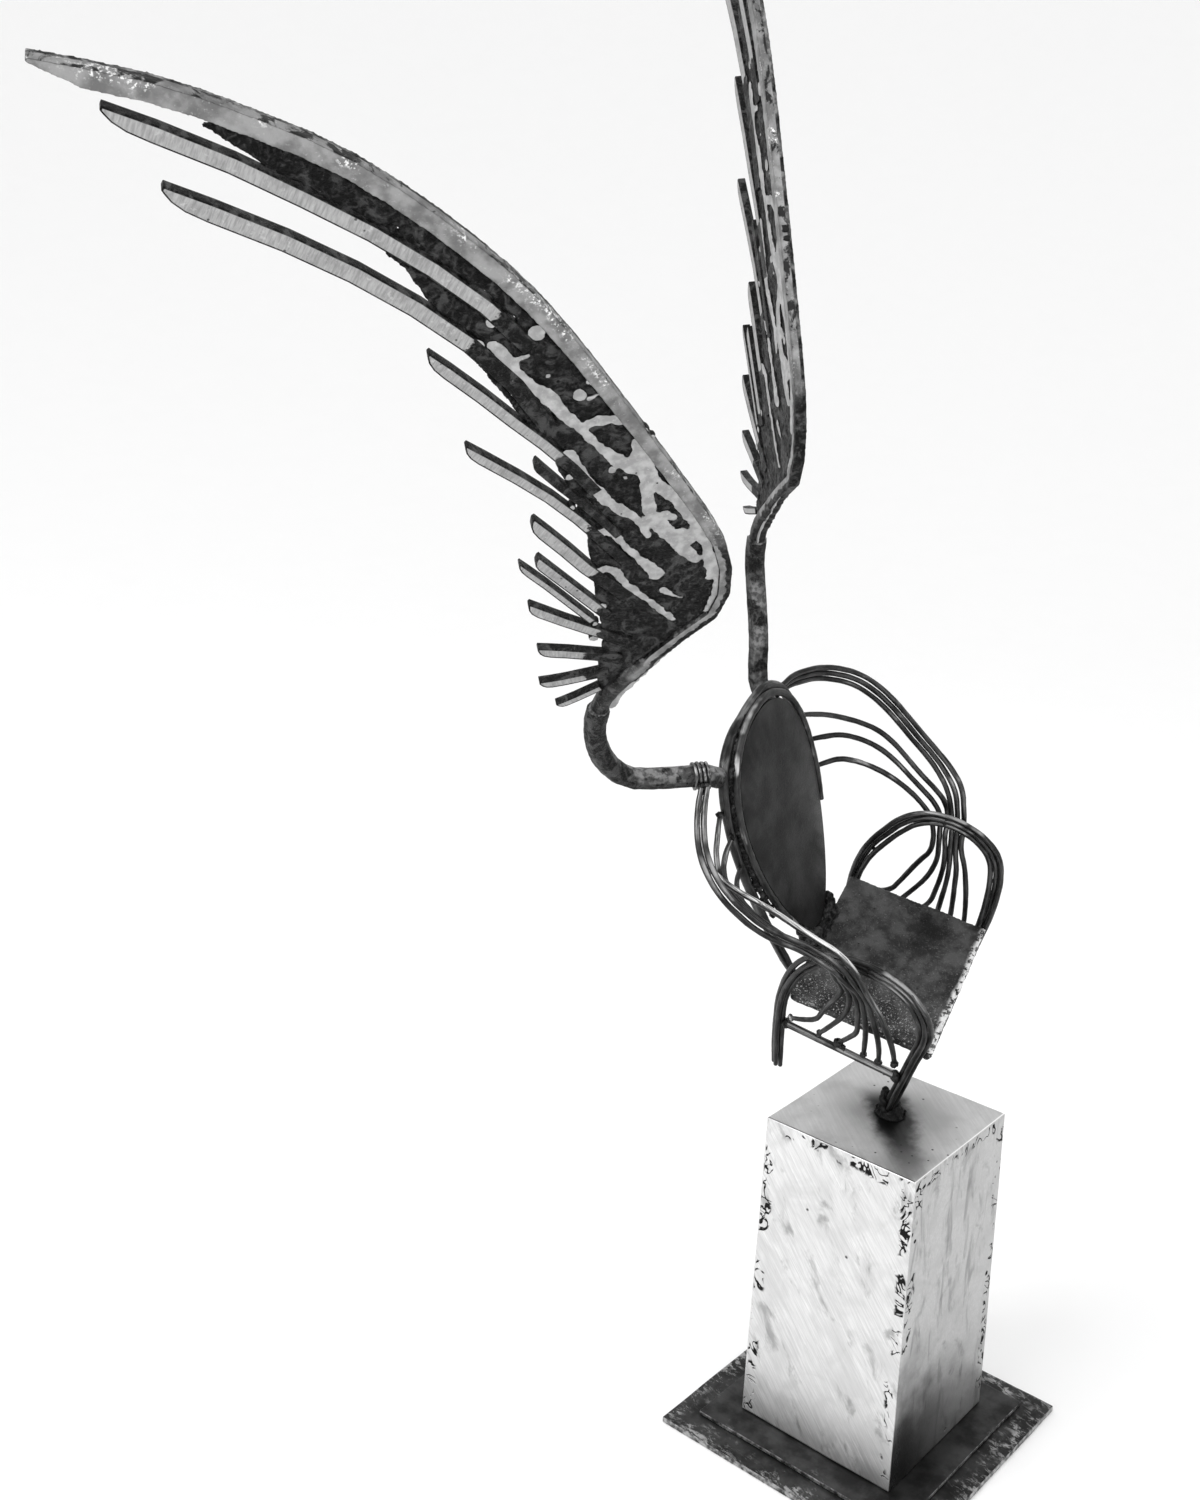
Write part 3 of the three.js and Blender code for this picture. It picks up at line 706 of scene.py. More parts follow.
@dataclass(frozen=True)
class ScalyWeld(Finish):
    """Black scaly weld metal with dull grey plates, flecks and pinholes."""

    name: str = "scaly_weld"
    slot: str = "weld_steel"

    def build(self) -> bpy.types.Material:
        """Makes the material."""
        s = Shader(self.name)
        colour, height = s.crust()
        return s.finish(colour, 0.52, s.bump(height, 1.3 * MM), 0.8)


@dataclass(frozen=True)
class FlushWeld(Finish):
    """Runs of weld metal ground flush: pale on the flat, black down their sides."""

    name: str
    way: tuple
    slot: str = "weld_steel"

    def build(self) -> bpy.types.Material:
        """Makes the material."""
        s = Shader(self.name)
        flat = s.range(s.unsigned(s.along(self.way)), 0.62, 0.9)
        pale = s.mix(s.cloud(5 * MM, 0.38, 0.66, detail=5), 0.3, 0.46)
        pale = s.mix(s.cloud(1.3 * MM, 0.58, 0.7, 0.0, 0.5, detail=4, roughness=0.7), pale, 0.62)
        pits = s.range(s.cells(6 * MM), 0.1, 0.05)
        pale = s.mix(pits, pale, 0.02)
        colour = s.mix(flat, 0.02, pale)
        rough = s.blend(flat, 0.6, 0.4)
        return s.finish(colour, rough, s.bump(s.noise(1.6 * MM, detail=4), 0.1 * MM), 0.8)


@dataclass(frozen=True)
class EdgeBar(Finish):
    """The bar along a wing's leading edge: ground and speckled above the elbow, half burnt below it, with a
    painted highlight on the crust's upward faces.
    """

    name: str
    way: tuple
    slot: str = "wing_steel"
    elbow: float = 352 * MM
    stalk: float = 468 * MM
    half: float = 4.1 * MM
    front: float = 1.0
    zones: str = "zones"

    def build(self) -> bpy.types.Material:
        """Makes the material."""
        s = Shader(self.name)
        gone, inward, deep = s.axes(s.stored(self.zones))
        flat = s.range(s.unsigned(s.along(self.way)), 0.6, 0.85)
        ragged = s.wander(5 * MM, 6 * MM, detail=6, roughness=0.65)
        across = s.total(inward, ragged)
        face = s.mix(s.cloud(9 * MM, 0.36, 0.66, detail=6), 0.15, 0.31)
        face = s.mix(s.cloud(1.4 * MM, 0.58, 0.7, 0.0, 0.5, detail=5, roughness=0.7), face, 0.55)
        bright = s.cloud(26 * MM, 0.52, 0.6, detail=4)
        dots = s.cloud(1.6 * MM, 0.52, 0.6, detail=4, roughness=0.75)
        face = s.coat(face, 0.85, dots, bright, s.range(across, 5.4 * MM, 3.0 * MM))
        burnt = s.cloud(11 * MM, 0.51, 0.57, detail=6, roughness=0.65, warp=0.6)
        face = s.coat(face, 0.02, burnt, s.rest(flat))
        crust, height = s.crust()
        # Painted highlight: the crust's faces turned upwards are lighter grey in patches.
        upward = s.range(s.along((-0.3, -0.2, 0.9)), 0.1, 0.7)
        upward = s.product(upward, s.cloud(11 * MM, 0.44, 0.54, detail=5))
        crust = s.coat(crust, s.mix(s.cloud(3 * MM, 0.4, 0.6), 0.1, 0.3), upward, 0.9)
        lower = s.range(gone, self.elbow - 16 * MM, self.elbow + 16 * MM)
        rear = s.range(s.product(deep, self.front), -1.2 * MM, -0.6 * MM)
        side = s.product(s.rest(flat), rear)
        strip = s.range(across, self.half, self.half + 0.5 * MM)
        bare = s.blend(lower, s.math("MAXIMUM", flat, side), s.product(flat, strip))
        bare = s.product(bare, s.range(gone, self.stalk, self.stalk - 6 * MM))
        colour = s.mix(bare, crust, face)
        rough = s.blend(bare, 0.55, 0.4)
        normal = s.bump(s.noise(2.2 * MM, detail=6, roughness=0.65), 0.3 * MM)
        normal = s.bump(s.product(height, s.rest(bare)), 0.9 * MM, normal)
        return s.finish(colour, rough, normal, 0.8)


@dataclass(frozen=True)
class PaleFloor(Finish):
    """The plain pale floor."""

    name: str = "pale_floor"
    slot: str = ""
    tone: float = 0.93

    def build(self) -> bpy.types.Material:
        """Makes the material."""
        s = Shader(self.name)
        grain = s.noise(60 * MM, detail=4)
        colour = s.coat(self.tone, 0.86, s.range(grain, 0.4, 0.7), 0.06)
        return s.finish(colour, 0.95, s.bump(s.noise(1.5 * MM), 0.02 * MM), 0.0)


# The finishes below that set ground carry a lighter grey on the faces that turn towards each finish's own lit
# way, the upper front left by default: part grinding wear, part painted highlight. The rod finishes differ
# mostly in how strong it is.
ROD = StreakedRod("streaked_rod")
BRIGHT_ROD = StreakedRod("bright_rod", ground=0.95, ground_and_sheen_grey=0.85, streak=0.26, rubbed_and_lit=(-0.3, -0.6, 0.75))
ARCH_ROD = StreakedRod("arch_rod", ground=0.42, ground_and_sheen_grey=0.34)
HOOP = StreakedRod("hoop_rod", ground=0.25, ground_and_sheen_grey=0.25, dark=0.014, light=0.045)
RING = StreakedRod("ring_rod", ground=0.32, ground_and_sheen_grey=0.55, streak=0.1, rubbed_and_lit=(-0.85, -0.35, 0.4))
SEAT_BAR = DarkSteel(
    "seat_bar", "rod_steel", dark=0.02, light=0.07, speck=1.2, speck_size=1.6 * MM, ground=0.3,
)
PANEL = DarkSteel(
    "back_sheet", "sheet_steel", dark=0.01, light=0.042, patch=26 * MM, scratch=0.04, roughness=0.45,
)
PLATE = BaseSheet()
CUT_EDGE = DarkSteel("cut_edge", "base_steel", dark=0.05, light=0.42, patch=4 * MM, scratch=0.6)
BURNT_EDGE = ScalyWeld("burnt_edge", "wing_steel")
GROUND_ROD = StreakedRod(
    "ground_rod", "plinth_steel", dark=0.03, light=0.1, streak=0.22, ground=0.8, ground_and_sheen_grey=0.42,
)
FOOT_METAL = DarkSteel(
    "foot_metal", "weld_steel", dark=0.003, light=0.02, patch=4 * MM, roughness=0.6, scratch=0.0,
)
WIRE = DarkSteel(
    "wire_turns", "weld_steel", dark=0.04, light=0.16, patch=4 * MM, ground=0.6, ground_and_sheen_grey=0.4,
)
WELD = DarkSteel(
    "weld_lump", "weld_steel", dark=0.006, light=0.045, patch=3 * MM, bump_depth=0.6 * MM, ground=0.1,
)
SPATTER = DarkSteel("spatter", "sheet_steel", dark=0.03, light=0.2, patch=5 * MM)


# Making pieces


@dataclass(frozen=True)
class Relief:
    """How a piece is remade: the size of its faces, the rounds of smoothing, and its layers of lumps."""

    voxel: float
    smooth: int
    lumps: tuple = ()


class Bench:
    """The modelling steps that all the pieces share."""

    @staticmethod
    @contextmanager
    def editing(whole: bool = True) -> Iterator[None]:
        """Edit mode on the active object, with all of it selected unless whole is False."""
        bpy.ops.object.mode_set(mode="EDIT")
        if whole:
            bpy.ops.mesh.select_all(action="SELECT")
        yield
        bpy.ops.object.mode_set(mode="OBJECT")

    @staticmethod
    def block(name: str, middle: Vector, size: Vector) -> bpy.types.Object:
        """A box of a size, round its middle."""
        bpy.ops.object.select_all(action="DESELECT")
        bpy.ops.mesh.primitive_cube_add(size=1.0, location=middle)
        made = bpy.context.object
        made.name = name
        made.scale = size
        bpy.ops.object.transform_apply()
        return made

    @staticmethod
    def tube(
        name: str, places: list[Vector], radii: list[float], depth: float, sections: int, steps: int = 6,
    ) -> bpy.types.Object:
        """A smooth tube through some places.

        Args:
            name: its name.
            places: the places that its middle line runs through.
            radii: how thick it is at each of them, as a share of the depth.
            depth: the radius in metres where that share is 1.
            sections: how finely its section is divided.
            steps: how many rings lie between two places.

        Returns:
            The tube as a mesh.
        """
        bpy.ops.object.select_all(action="DESELECT")
        bpy.ops.curve.primitive_bezier_curve_add()
        made = bpy.context.object
        made.name = name
        curve = made.data
        curve.splines.clear()
        spline = curve.splines.new("BEZIER")
        spline.bezier_points.add(len(places) - 1)
        for point, place, radius in zip(spline.bezier_points, places, radii):
            point.co = place
            point.handle_left_type = "AUTO"
            point.handle_right_type = "AUTO"
            point.radius = radius
        spline.resolution_u = steps
        curve.dimensions = "3D"
        curve.bevel_depth = depth
        curve.bevel_resolution = sections
        curve.use_fill_caps = True
        Bench.take(made)
        bpy.ops.object.convert(target="MESH")
        return made

    @staticmethod
    def take(obj: bpy.types.Object) -> bpy.types.Object:
        """Makes one object the only selected and active one."""
        bpy.ops.object.select_all(action="DESELECT")
        obj.select_set(True)
        bpy.context.view_layer.objects.active = obj
        return obj

    @staticmethod
    def copy_of(node: str, name: str) -> bpy.types.Object:
        """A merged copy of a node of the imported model.

        Args:
            node: the node's name.
            name: the piece's name.

        Returns:
            The new object, with its vertices merged and its flat faces whole.
        """
        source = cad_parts[node]
        made = bpy.data.objects.new(name, source.data.copy())
        bpy.context.scene.collection.objects.link(made)
        made.data.materials.clear()
        Bench.take(made)
        with Bench.editing():
            bpy.ops.mesh.remove_doubles(threshold=MERGE)
            bpy.ops.mesh.dissolve_limited(angle_limit=math.radians(0.8))
        return made

    @staticmethod
    def modify(obj: bpy.types.Object, kind: str, **settings) -> None:
        """Adds a modifier and applies it.

        Args:
            obj: the object.
            kind: the modifier's type.
            settings: the modifier's own settings.
        """
        Bench.take(obj)
        modifier = obj.modifiers.new(kind.lower(), kind)
        for key, value in settings.items():
            setattr(modifier, key, value)
        bpy.ops.object.modifier_apply(modifier=modifier.name)

    @staticmethod
    def roughen(obj: bpy.types.Object, size: float, height: float, seed: float = 0.0) -> None:
        """Pushes the surface in and out by a cloudy pattern.

        Args:
            obj: the object.
            size: the size of a lump in metres.
            height: how far the lumps rise and sink in metres.
            seed: moves the pattern.
        """
        shift = Vector((seed, 2 * seed, 3 * seed))
        mesh = obj.data
        moves = []
        for vertex in mesh.vertices:
            place = vertex.co / size + shift
            moves.append(vertex.co + vertex.normal * height * noise.fractal(place, 1.0, 2.0, 3))
        for vertex, place in zip(mesh.vertices, moves):
            vertex.co = place

    @staticmethod
    def remesh(obj: bpy.types.Object, relief: Relief) -> None:
        """Remakes the surface in even small faces and roughens it.

        Args:
            obj: the object.
            relief: how finely, and its layers of lumps.
        """
        Bench.modify(obj, "REMESH", mode="VOXEL", voxel_size=relief.voxel, use_smooth_shade=True)
        Bench.modify(obj, "SMOOTH", factor=0.5, iterations=relief.smooth)
        for layer in relief.lumps:
            Bench.roughen(obj, *layer)

    @staticmethod
    def paint(obj: bpy.types.Object, *finishes: Finish) -> None:
        """Gives an object its finishes, one for each slot, in order."""
        obj.data.materials.clear()
        for finish in finishes:
            obj.data.materials.append(finish.material())

    @staticmethod
    def dress(obj: bpy.types.Object, *finishes: Finish, angle: float = 35.0) -> None:
        """Gives an object its finishes and smooth shading.

        Args:
            obj: the object.
            finishes: one finish for each slot.
            angle: edges sharper than this stay sharp, in degrees.
        """
        Bench.paint(obj, *finishes)
        Bench.soften(obj, angle)

    @staticmethod
    def soften(obj: bpy.types.Object, angle: float) -> None:
        """Shades an object smooth, apart from edges sharper than an angle in degrees."""
        Bench.take(obj)
        bpy.ops.object.shade_smooth_by_angle(angle=math.radians(angle))

    @staticmethod
    def store(obj: bpy.types.Object, name: str, values: list[Vector]) -> None:
        """Stores a vector on each of an object's points, for its material."""
        layer = obj.data.attributes.new(name, "FLOAT_VECTOR", "POINT")
        for item, value in zip(layer.data, values):
            item.vector = value

    @staticmethod
    def settle(obj: bpy.types.Object, nodes: Iterable[str] = ()) -> bpy.types.Object:
        """Puts a finished piece on the body, in place of the nodes it stands for.

        Args:
            obj: the piece.
            nodes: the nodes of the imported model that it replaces.

        Returns:
            The piece.
        """
        Bench.take(obj)
        bpy.ops.object.transform_apply()
        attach(obj, BODY)
        names = list(nodes)
        if names:
            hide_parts(*names)
        LOG.info("%s: %d faces", obj.name, len(obj.data.polygons))
        return obj

    @staticmethod
    def join(parts: list[bpy.types.Object], name: str) -> bpy.types.Object:
        """Joins objects into one, with their places in the mesh.

        Args:
            parts: the objects.
            name: the name of the result.

        Returns:
            The joined object.
        """
        bpy.ops.object.select_all(action="DESELECT")
        for part in parts:
            part.select_set(True)
        bpy.context.view_layer.objects.active = parts[0]
        bpy.ops.object.transform_apply()
        bpy.ops.object.join()
        parts[0].name = name
        return parts[0]

    @staticmethod
    def select_faces(obj: bpy.types.Object, wanted: Callable[[bpy.types.MeshPolygon], bool]) -> None:
        """Selects the faces that pass a test.

        Args:
            obj: the object.
            wanted: the test.
        """
        with Bench.editing():
            bpy.ops.mesh.select_mode(type="FACE")
            bpy.ops.mesh.select_all(action="DESELECT")
        for face in obj.data.polygons:
            face.select = wanted(face)


def centreline(node: str, sides: int) -> list[Vector]:
    """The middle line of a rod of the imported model, from its rings of vertices.

    Args:
        node: the rod's name.
        sides: how many sides its section has.

    Returns:
        The places from one end to the other.
    """
    shape = bmesh.new()
    shape.from_mesh(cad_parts[node].data)
    bmesh.ops.remove_doubles(shape, verts=shape.verts, dist=MERGE)
    shape.verts.index_update()
    ring = end_cap(shape, sides)
    seen = set(ring)
    places = []
    while ring:
        corners = sorted(ring, key=lambda corner: corner.index)
        places.append(sum((corner.co for corner in corners), Vector()) / len(corners))
        beyond = {e.other_vert(v) for v in ring for e in v.link_edges}
        ring = beyond - seen
        seen |= ring
    shape.free()
    return places


def end_cap(shape: bmesh.types.BMesh, sides: int) -> set:
    """The vertices of a flat end of a rod.

    Args:
        shape: the rod's mesh.
        sides: how many sides its section has.

    Returns:
        The cap's vertices.
    """
    for first in shape.faces:
        patch = {first}
        queue = [first]
        while queue:
            face = queue.pop()
            for edge in face.edges:
                for other in edge.link_faces:
                    if other not in patch and other.normal.dot(first.normal) > 0.99999:
                        patch.add(other)
                        queue.append(other)
        corners = {v for face in patch for v in face.verts}
        if len(corners) != sides:
            continue
        middle = sum((v.co for v in corners), Vector()) / sides
        reach = [(v.co - middle).length for v in corners]
        if max(reach) < 1.2 * min(reach):
            return corners
    raise ValueError("a rod has no flat end")


def nearest(line: list[Vector], place: Vector) -> tuple[float, Vector, Vector]:
    """The nearest place on a line of straight pieces.

    Args:
        line: the line's corners.
        place: the place to start from.

    Returns:
        How far along the line it is, the place itself, and the way its straight piece runs.
    """
    best = None
    gone = 0.0
    for first, second in zip(line, line[1:]):
        on_line, share = intersect_point_line(place, first, second)
        share = max(0.0, min(1.0, share))
        on_line = first.lerp(second, share)
        length = (second - first).length
        far = (place - on_line).length
        if best is None or far < best[0]:
            best = (far, gone + share * length, on_line, (second - first) / length)
        gone += length
    return best[1:]


@dataclass
class BentRod:
    """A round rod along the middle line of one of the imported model's rods."""

    node: str
    radius: float
    finish: Finish = ROD
    sides: int = 6
    steps: int = 6
    uneven: float = 0.05
    lump: float = 0.09 * MM
    lump_size: float = 3.5 * MM
    end: float = 0.82
    sections: int = 3
    grain: tuple = (0.045, 0.02, 0.03)

    def lay_grain(self, rod: bpy.types.Object, places: list[Vector]) -> None:
        """Stores coordinates that change slowly along the rod and quickly round it.

        Args:
            rod: the rod.
            places: its middle line.
        """
        values = []
        for vertex in rod.data.vertices:
            gone, on_line, _ = nearest(places, vertex.co)
            values.append(vertex.co - on_line + gone * Vector(self.grain))
        Bench.store(rod, "grain", values)

    def build(self) -> bpy.types.Object:
        """Makes the rod.

        Returns:
            The finished piece.
        """
        places = centreline(self.node, self.sides)
        chance = random.Random(f"{SEED} {self.node}")
        inner = [1 + self.uneven * chance.uniform(-1, 1) for _ in places[1:-1]]
        radii = [self.end, *inner, self.end]
        rod = Bench.tube(f"{self.node}_bar", places, radii, self.radius, self.sections, self.steps)
        self.lay_grain(rod, places)
        Bench.roughen(rod, self.lump_size, self.lump, chance.uniform(0, 50))
        Bench.dress(rod, self.finish, angle=50)
        return Bench.settle(rod, [self.node])


@dataclass
class WeldBead:
    """A lump of weld metal, made from a ball that is flattened and roughened."""

    place: Vector
    size: float
    seed: int
    flat: float = 0.8

    def build(self) -> bpy.types.Object:
        """Makes the lump.

        Returns:
            The object, not yet on its body.
        """
        chance = random.Random(SEED + self.seed)
        bpy.ops.object.select_all(action="DESELECT")
        bpy.ops.mesh.primitive_ico_sphere_add(subdivisions=3, radius=self.size, location=self.place)
        lump = bpy.context.object
        lump.rotation_euler = [chance.uniform(0, math.tau) for _ in range(3)]
        lump.scale = (1.0, chance.uniform(0.8, 1.2), self.flat)
        bpy.ops.object.transform_apply()
        Bench.roughen(lump, self.size * 0.8, self.size * 0.28, chance.uniform(0, 90))
        return lump


def beads(name: str, places: Iterable[Vector], size: float, finish: Finish = WELD) -> bpy.types.Object:
    """One piece of weld beads at some places.

    Args:
        name: the piece's name.
        places: where the beads lie.
        size: their rough radius in metres.
        finish: their finish.

    Returns:
        The finished piece.
    """
    chance = random.Random(f"{SEED} {name}")
    lumps = [
        WeldBead(Vector(place), size * chance.uniform(0.8, 1.2), index).build()
        for index, place in enumerate(places)
    ]
    joined = Bench.join(lumps, name)
    Bench.dress(joined, finish, angle=80)
    return Bench.settle(joined)


# The object's sub-assemblies


@dataclass
class Base:
    """The two stacked plates, with ground edges and softly bevelled corners.

    Dents are the size of a lump, its height and the pattern's start, as roughen takes them.
    """

    bevel: float = 0.5 * MM
    cuts: int = 12
    dents: tuple = (22 * MM, 0.25 * MM, 3.0)

    def plate(self, node: str) -> bpy.types.Object:
        """One plate from a block of the node's size.

        Args:
            node: the node that it stands for.

        Returns:
            The finished piece.
        """
        low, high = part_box(node)
        made = Bench.block(f"{node}_sheet", (low + high) / 2, high - low)
        Bench.modify(made, "BEVEL", width=self.bevel, segments=2)
        with Bench.editing():
            bpy.ops.mesh.subdivide(number_cuts=self.cuts)
        Bench.roughen(made, *self.dents)
        Bench.dress(made, PLATE, CUT_EDGE)
        for face in made.data.polygons:
            face.material_index = int(abs(face.normal.z) < 0.8)
        return Bench.settle(made, [node])

    def build(self) -> None:
        """Makes both plates."""
        for node in ("base_plate_lower", "base_plate_upper"):
            self.plate(node)


@dataclass
class Plinth:
    """The hollow ground plinth with its lid and the burn round the foot."""

    edge: float = 0.7 * MM
    wall: float = 3 * MM
    cuts: int = 16
    dents: tuple = (30 * MM, 0.3 * MM, 5.0)

    def build(self) -> None:
        """Makes the plinth's shell and its lid's finish."""
        low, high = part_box("plinth_walls")
        lid_low, lid_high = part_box("plinth_top")
        middle = (lid_low + lid_high) / 2
        half = (lid_high.x - lid_low.x) / 2
        foot_half = (high.x - low.x) / 2
        tall = lid_high.z - low.z
        size = Vector((2 * half, 2 * half, tall))
        shell = Bench.block("plinth_shell", Vector((middle.x, middle.y, low.z + tall / 2)), size)
        Bench.select_faces(shell, lambda face: face.normal.z < -0.9)
        flare = foot_half / half
        shrink = (half - self.wall) / (foot_half - self.wall)
        with Bench.editing(whole=False):
            bpy.ops.transform.resize(value=(flare, flare, 1), center_override=(middle.x, middle.y, low.z))
            bpy.ops.mesh.inset(thickness=self.wall)
            bpy.ops.mesh.extrude_region_move(TRANSFORM_OT_translate={"value": (0, 0, tall - self.wall)})
            bpy.ops.transform.resize(value=(shrink, shrink, 1), center_override=(middle.x, middle.y, high.z))
        Bench.modify(shell, "BEVEL", width=self.edge, segments=3)
        with Bench.editing():
            bpy.ops.mesh.subdivide(number_cuts=self.cuts)
        Bench.roughen(shell, *self.dents)
        foot_low, foot_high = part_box("foot_weld")
        foot = ((foot_low.x + foot_high.x) / 2, (foot_low.y + foot_high.y) / 2, lid_high.z)
        corner = (middle.x - half, middle.y - half, lid_high.z)
        walls = BrightWalls(centre=(middle.x, middle.y), half=half, top=lid_high.z)
        Bench.dress(shell, walls, ScorchedTop(foot=foot, corner=corner), angle=40)
        for face in shell.data.polygons:
            face.material_index = int(face.normal.z > 0.8 and face.center.z > lid_high.z - self.wall / 2)
        Bench.settle(shell, ["plinth_walls", "plinth_top"])


@dataclass
class Chair:
    """The seat, its frame, the arches, the stretchers and the back.

    The apron is the weld metal at the oval's foot: how far it reaches to each side of the seat's middle, and
    how high it climbs on the left and on the right. The tacks are the rings of the arch rods that are welded.
    """

    rod: float = 1.62 * MM
    hoop: float = 2.9 * MM
    ring: float = 2.2 * MM
    stretcher: float = 2.7 * MM
    spatter: int = 200
    drop: tuple = (0.3 * MM, 0.7 * MM)
    sheet: Relief = Relief(0.8 * MM, 2, ((14 * MM, 0.35 * MM, 1.0), (2.5 * MM, 0.14 * MM, 2.0)))
    bars: Relief = Relief(0.8 * MM, 4, ((3 * MM, 0.3 * MM, 4.0),))
    crust: Relief = Relief(0.7 * MM, 2, ((2.5 * MM, 0.5 * MM, 31.0),))
    tacks: tuple = (3, 7, 11, 15, 19)
    seam_gap: float = 14 * MM
    apron_left: float = -40 * MM
    apron_right: float = 18 * MM
    apron_climb: tuple = (24 * MM, 15 * MM)

    def seat(self) -> None:
        """The seat's sheet, remade finely enough to dent and roughen, with its spatter."""
        sheet = Bench.copy_of("seat_plate", "seat_sheet")
        up = self.seat_normal(sheet)
        Bench.remesh(sheet, self.sheet)
        drops = self.drops(sheet, up)
        Bench.dress(drops, SPATTER, angle=80)
        Bench.settle(drops)
        Bench.dress(sheet, SeatSheet(), angle=60)
        Bench.settle(sheet, ["seat_plate"])

    @staticmethod
    def seat_normal(sheet: bpy.types.Object) -> Vector:
        """The way the seat's top faces."""
        largest = max(sheet.data.polygons, key=lambda face: face.area)
        normal = largest.normal.copy()
        return normal if normal.z > 0 else -normal

    def drops(self, sheet: bpy.types.Object, up: Vector) -> bpy.types.Object:
        """Drops of weld spatter on the seat, denser towards its left edge.

        Args:
            sheet: the seat's sheet.
            up: the way its top faces.

        Returns:
            The drops as one object.
        """
        chance = random.Random(SEED)
        faces = [face for face in sheet.data.polygons if face.normal.dot(up) > 0.8]
        low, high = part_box("seat_plate")
        made = []
        while len(made) < self.spatter:
            face = chance.choice(faces)
            nearness = (high.x - face.center.x) / (high.x - low.x)
            if chance.random() > 0.1 + 0.9 * nearness**2:
                continue
            size = chance.uniform(*self.drop)
            bpy.ops.object.select_all(action="DESELECT")
            bpy.ops.mesh.primitive_ico_sphere_add(subdivisions=1, radius=size, location=face.center)
            drop = bpy.context.object
            drop.scale = (1.0, chance.uniform(0.6, 1.4), 0.7)
            made.append(drop)
        return Bench.join(made, "seat_spatter")

    def seat_frame(self) -> None:
        """The round bars under the seat's edges, run together at their corners."""
        bars = Bench.copy_of("seat_frame", "seat_bars")
        Bench.remesh(bars, self.bars)
        Bench.dress(bars, SEAT_BAR, angle=80)
        Bench.settle(bars, ["seat_frame"])

    def panel(self) -> None:
        """The oval back, with a smooth outline."""
        oval = Bench.copy_of("back_panel", "back_oval")
        for edge in oval.data.edges:
            edge.use_edge_sharp = False
        creases = oval.data.attributes.new("crease_edge", "FLOAT", "EDGE")
        ovals = [face for face in oval.data.polygons if len(face.vertices) > 4]
        flats = {tuple(sorted(pair)) for face in ovals for pair in face.edge_keys}
        for edge, item in zip(oval.data.edges, creases.data):
            item.value = float(tuple(sorted(edge.vertices)) in flats)
        Bench.modify(oval, "SUBSURF", levels=2, render_levels=2)
        sharp = math.radians(50)
        Bench.modify(oval, "BEVEL", width=0.35 * MM, segments=2, angle_limit=sharp, limit_method="ANGLE")
        Bench.dress(oval, PANEL, angle=40)
        Bench.settle(oval, ["back_panel"])

    def rods(self) -> None:
        """All the bent rods, hoops and stretchers."""
        for side in Side:
            for index in range(1, 4):
                BentRod(f"{side.value}_arch_rod_{index}", self.rod, ARCH_ROD).build()
            for index in range(1, 7):
                finish = self.rod_finish(side, index)
                BentRod(f"{side.value}_side_rod_{index}", self.rod, finish).build()
            BentRod(f"{side.value}_stretcher", self.stretcher, GROUND_ROD, sides=8, steps=24).build()
        BentRod("back_hoop", self.hoop, HOOP, sides=8).build()
        BentRod("back_inner_ring", self.ring, RING, lump=0.2 * MM).build()

    @staticmethod
    def rod_finish(side: Side, index: int) -> Finish:
        """The finish of a side rod; on the left, the rods along the arm are the brightest, with the strongest
        painted highlight.
        """
        if side is Side.RIGHT or index < 4:
            return ROD
        return BRIGHT_ROD if index == 6 else ARCH_ROD

    def welds(self) -> None:
        """The beads where rods meet the stretchers, the hoop and the seat's frame."""
        for side in Side:
            word = side.value
            ends = [centreline(f"{word}_side_rod_{index}", 6) for index in range(1, 7)]
            beads(f"{word}_rod_end_welds", [self.lowest(line) for line in ends], 2.3 * MM)
            beads(f"{word}_hoop_welds", [self.highest(line) for line in ends], 1.8 * MM)
            bar = centreline(f"{word}_stretcher", 8)
            beads(f"{word}_stretcher_welds", [bar[0], bar[-1]], 3.6 * MM)
            arches = [centreline(f"{word}_arch_rod_{index}", 6) for index in (1, 2, 3)]
            ties = [(a[i] + b[i]) / 2 for i in self.tacks for a, b in zip(arches, arches[1:])]
            beads(f"{word}_arch_tacks", ties, 1.5 * MM)

    def seam(self) -> None:
        """The black weld that fills the gap between the hoop and the ring on the left, from top to bottom."""
        ring = centreline("back_inner_ring", 6)
        back = chair_matrix().inverted()
        share = self.hoop / (self.hoop + self.ring)
        inner = []
        for place in centreline("back_hoop", 8):
            _, on_ring, _ = nearest(ring, place)
            if (back @ place).x < 6 * MM and (on_ring - place).length < self.seam_gap:
                inner.append(place.lerp(on_ring, share))
        fill = [first.lerp(second, part / 5) for first, second in zip(inner, inner[1:]) for part in range(5)]
        self.lumps("back_seam_weld", fill, 2.3 * MM)

    def apron(self) -> None:
        """The ragged weld metal between the foot of the oval back and the seat's back edge."""
        back = chair_matrix().inverted()
        oval = [back @ vertex.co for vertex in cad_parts["back_panel"].data.vertices]
        lowest = min(place.z for place in oval)
        places = []
        for place in oval:
            climb = self.apron_climb[int(place.x > 0)]
            if place.z < lowest + climb and place.x > self.apron_left:
                edge = Vector((min(place.x + 4 * MM, self.apron_right), SEAT_HALF[1] - 2 * MM, -1.5 * MM))
                places += [chair_matrix() @ place.lerp(edge, share) for share in (0.25, 0.5, 0.75, 1.0)]
        self.lumps("back_foot_weld", places, 2.8 * MM)

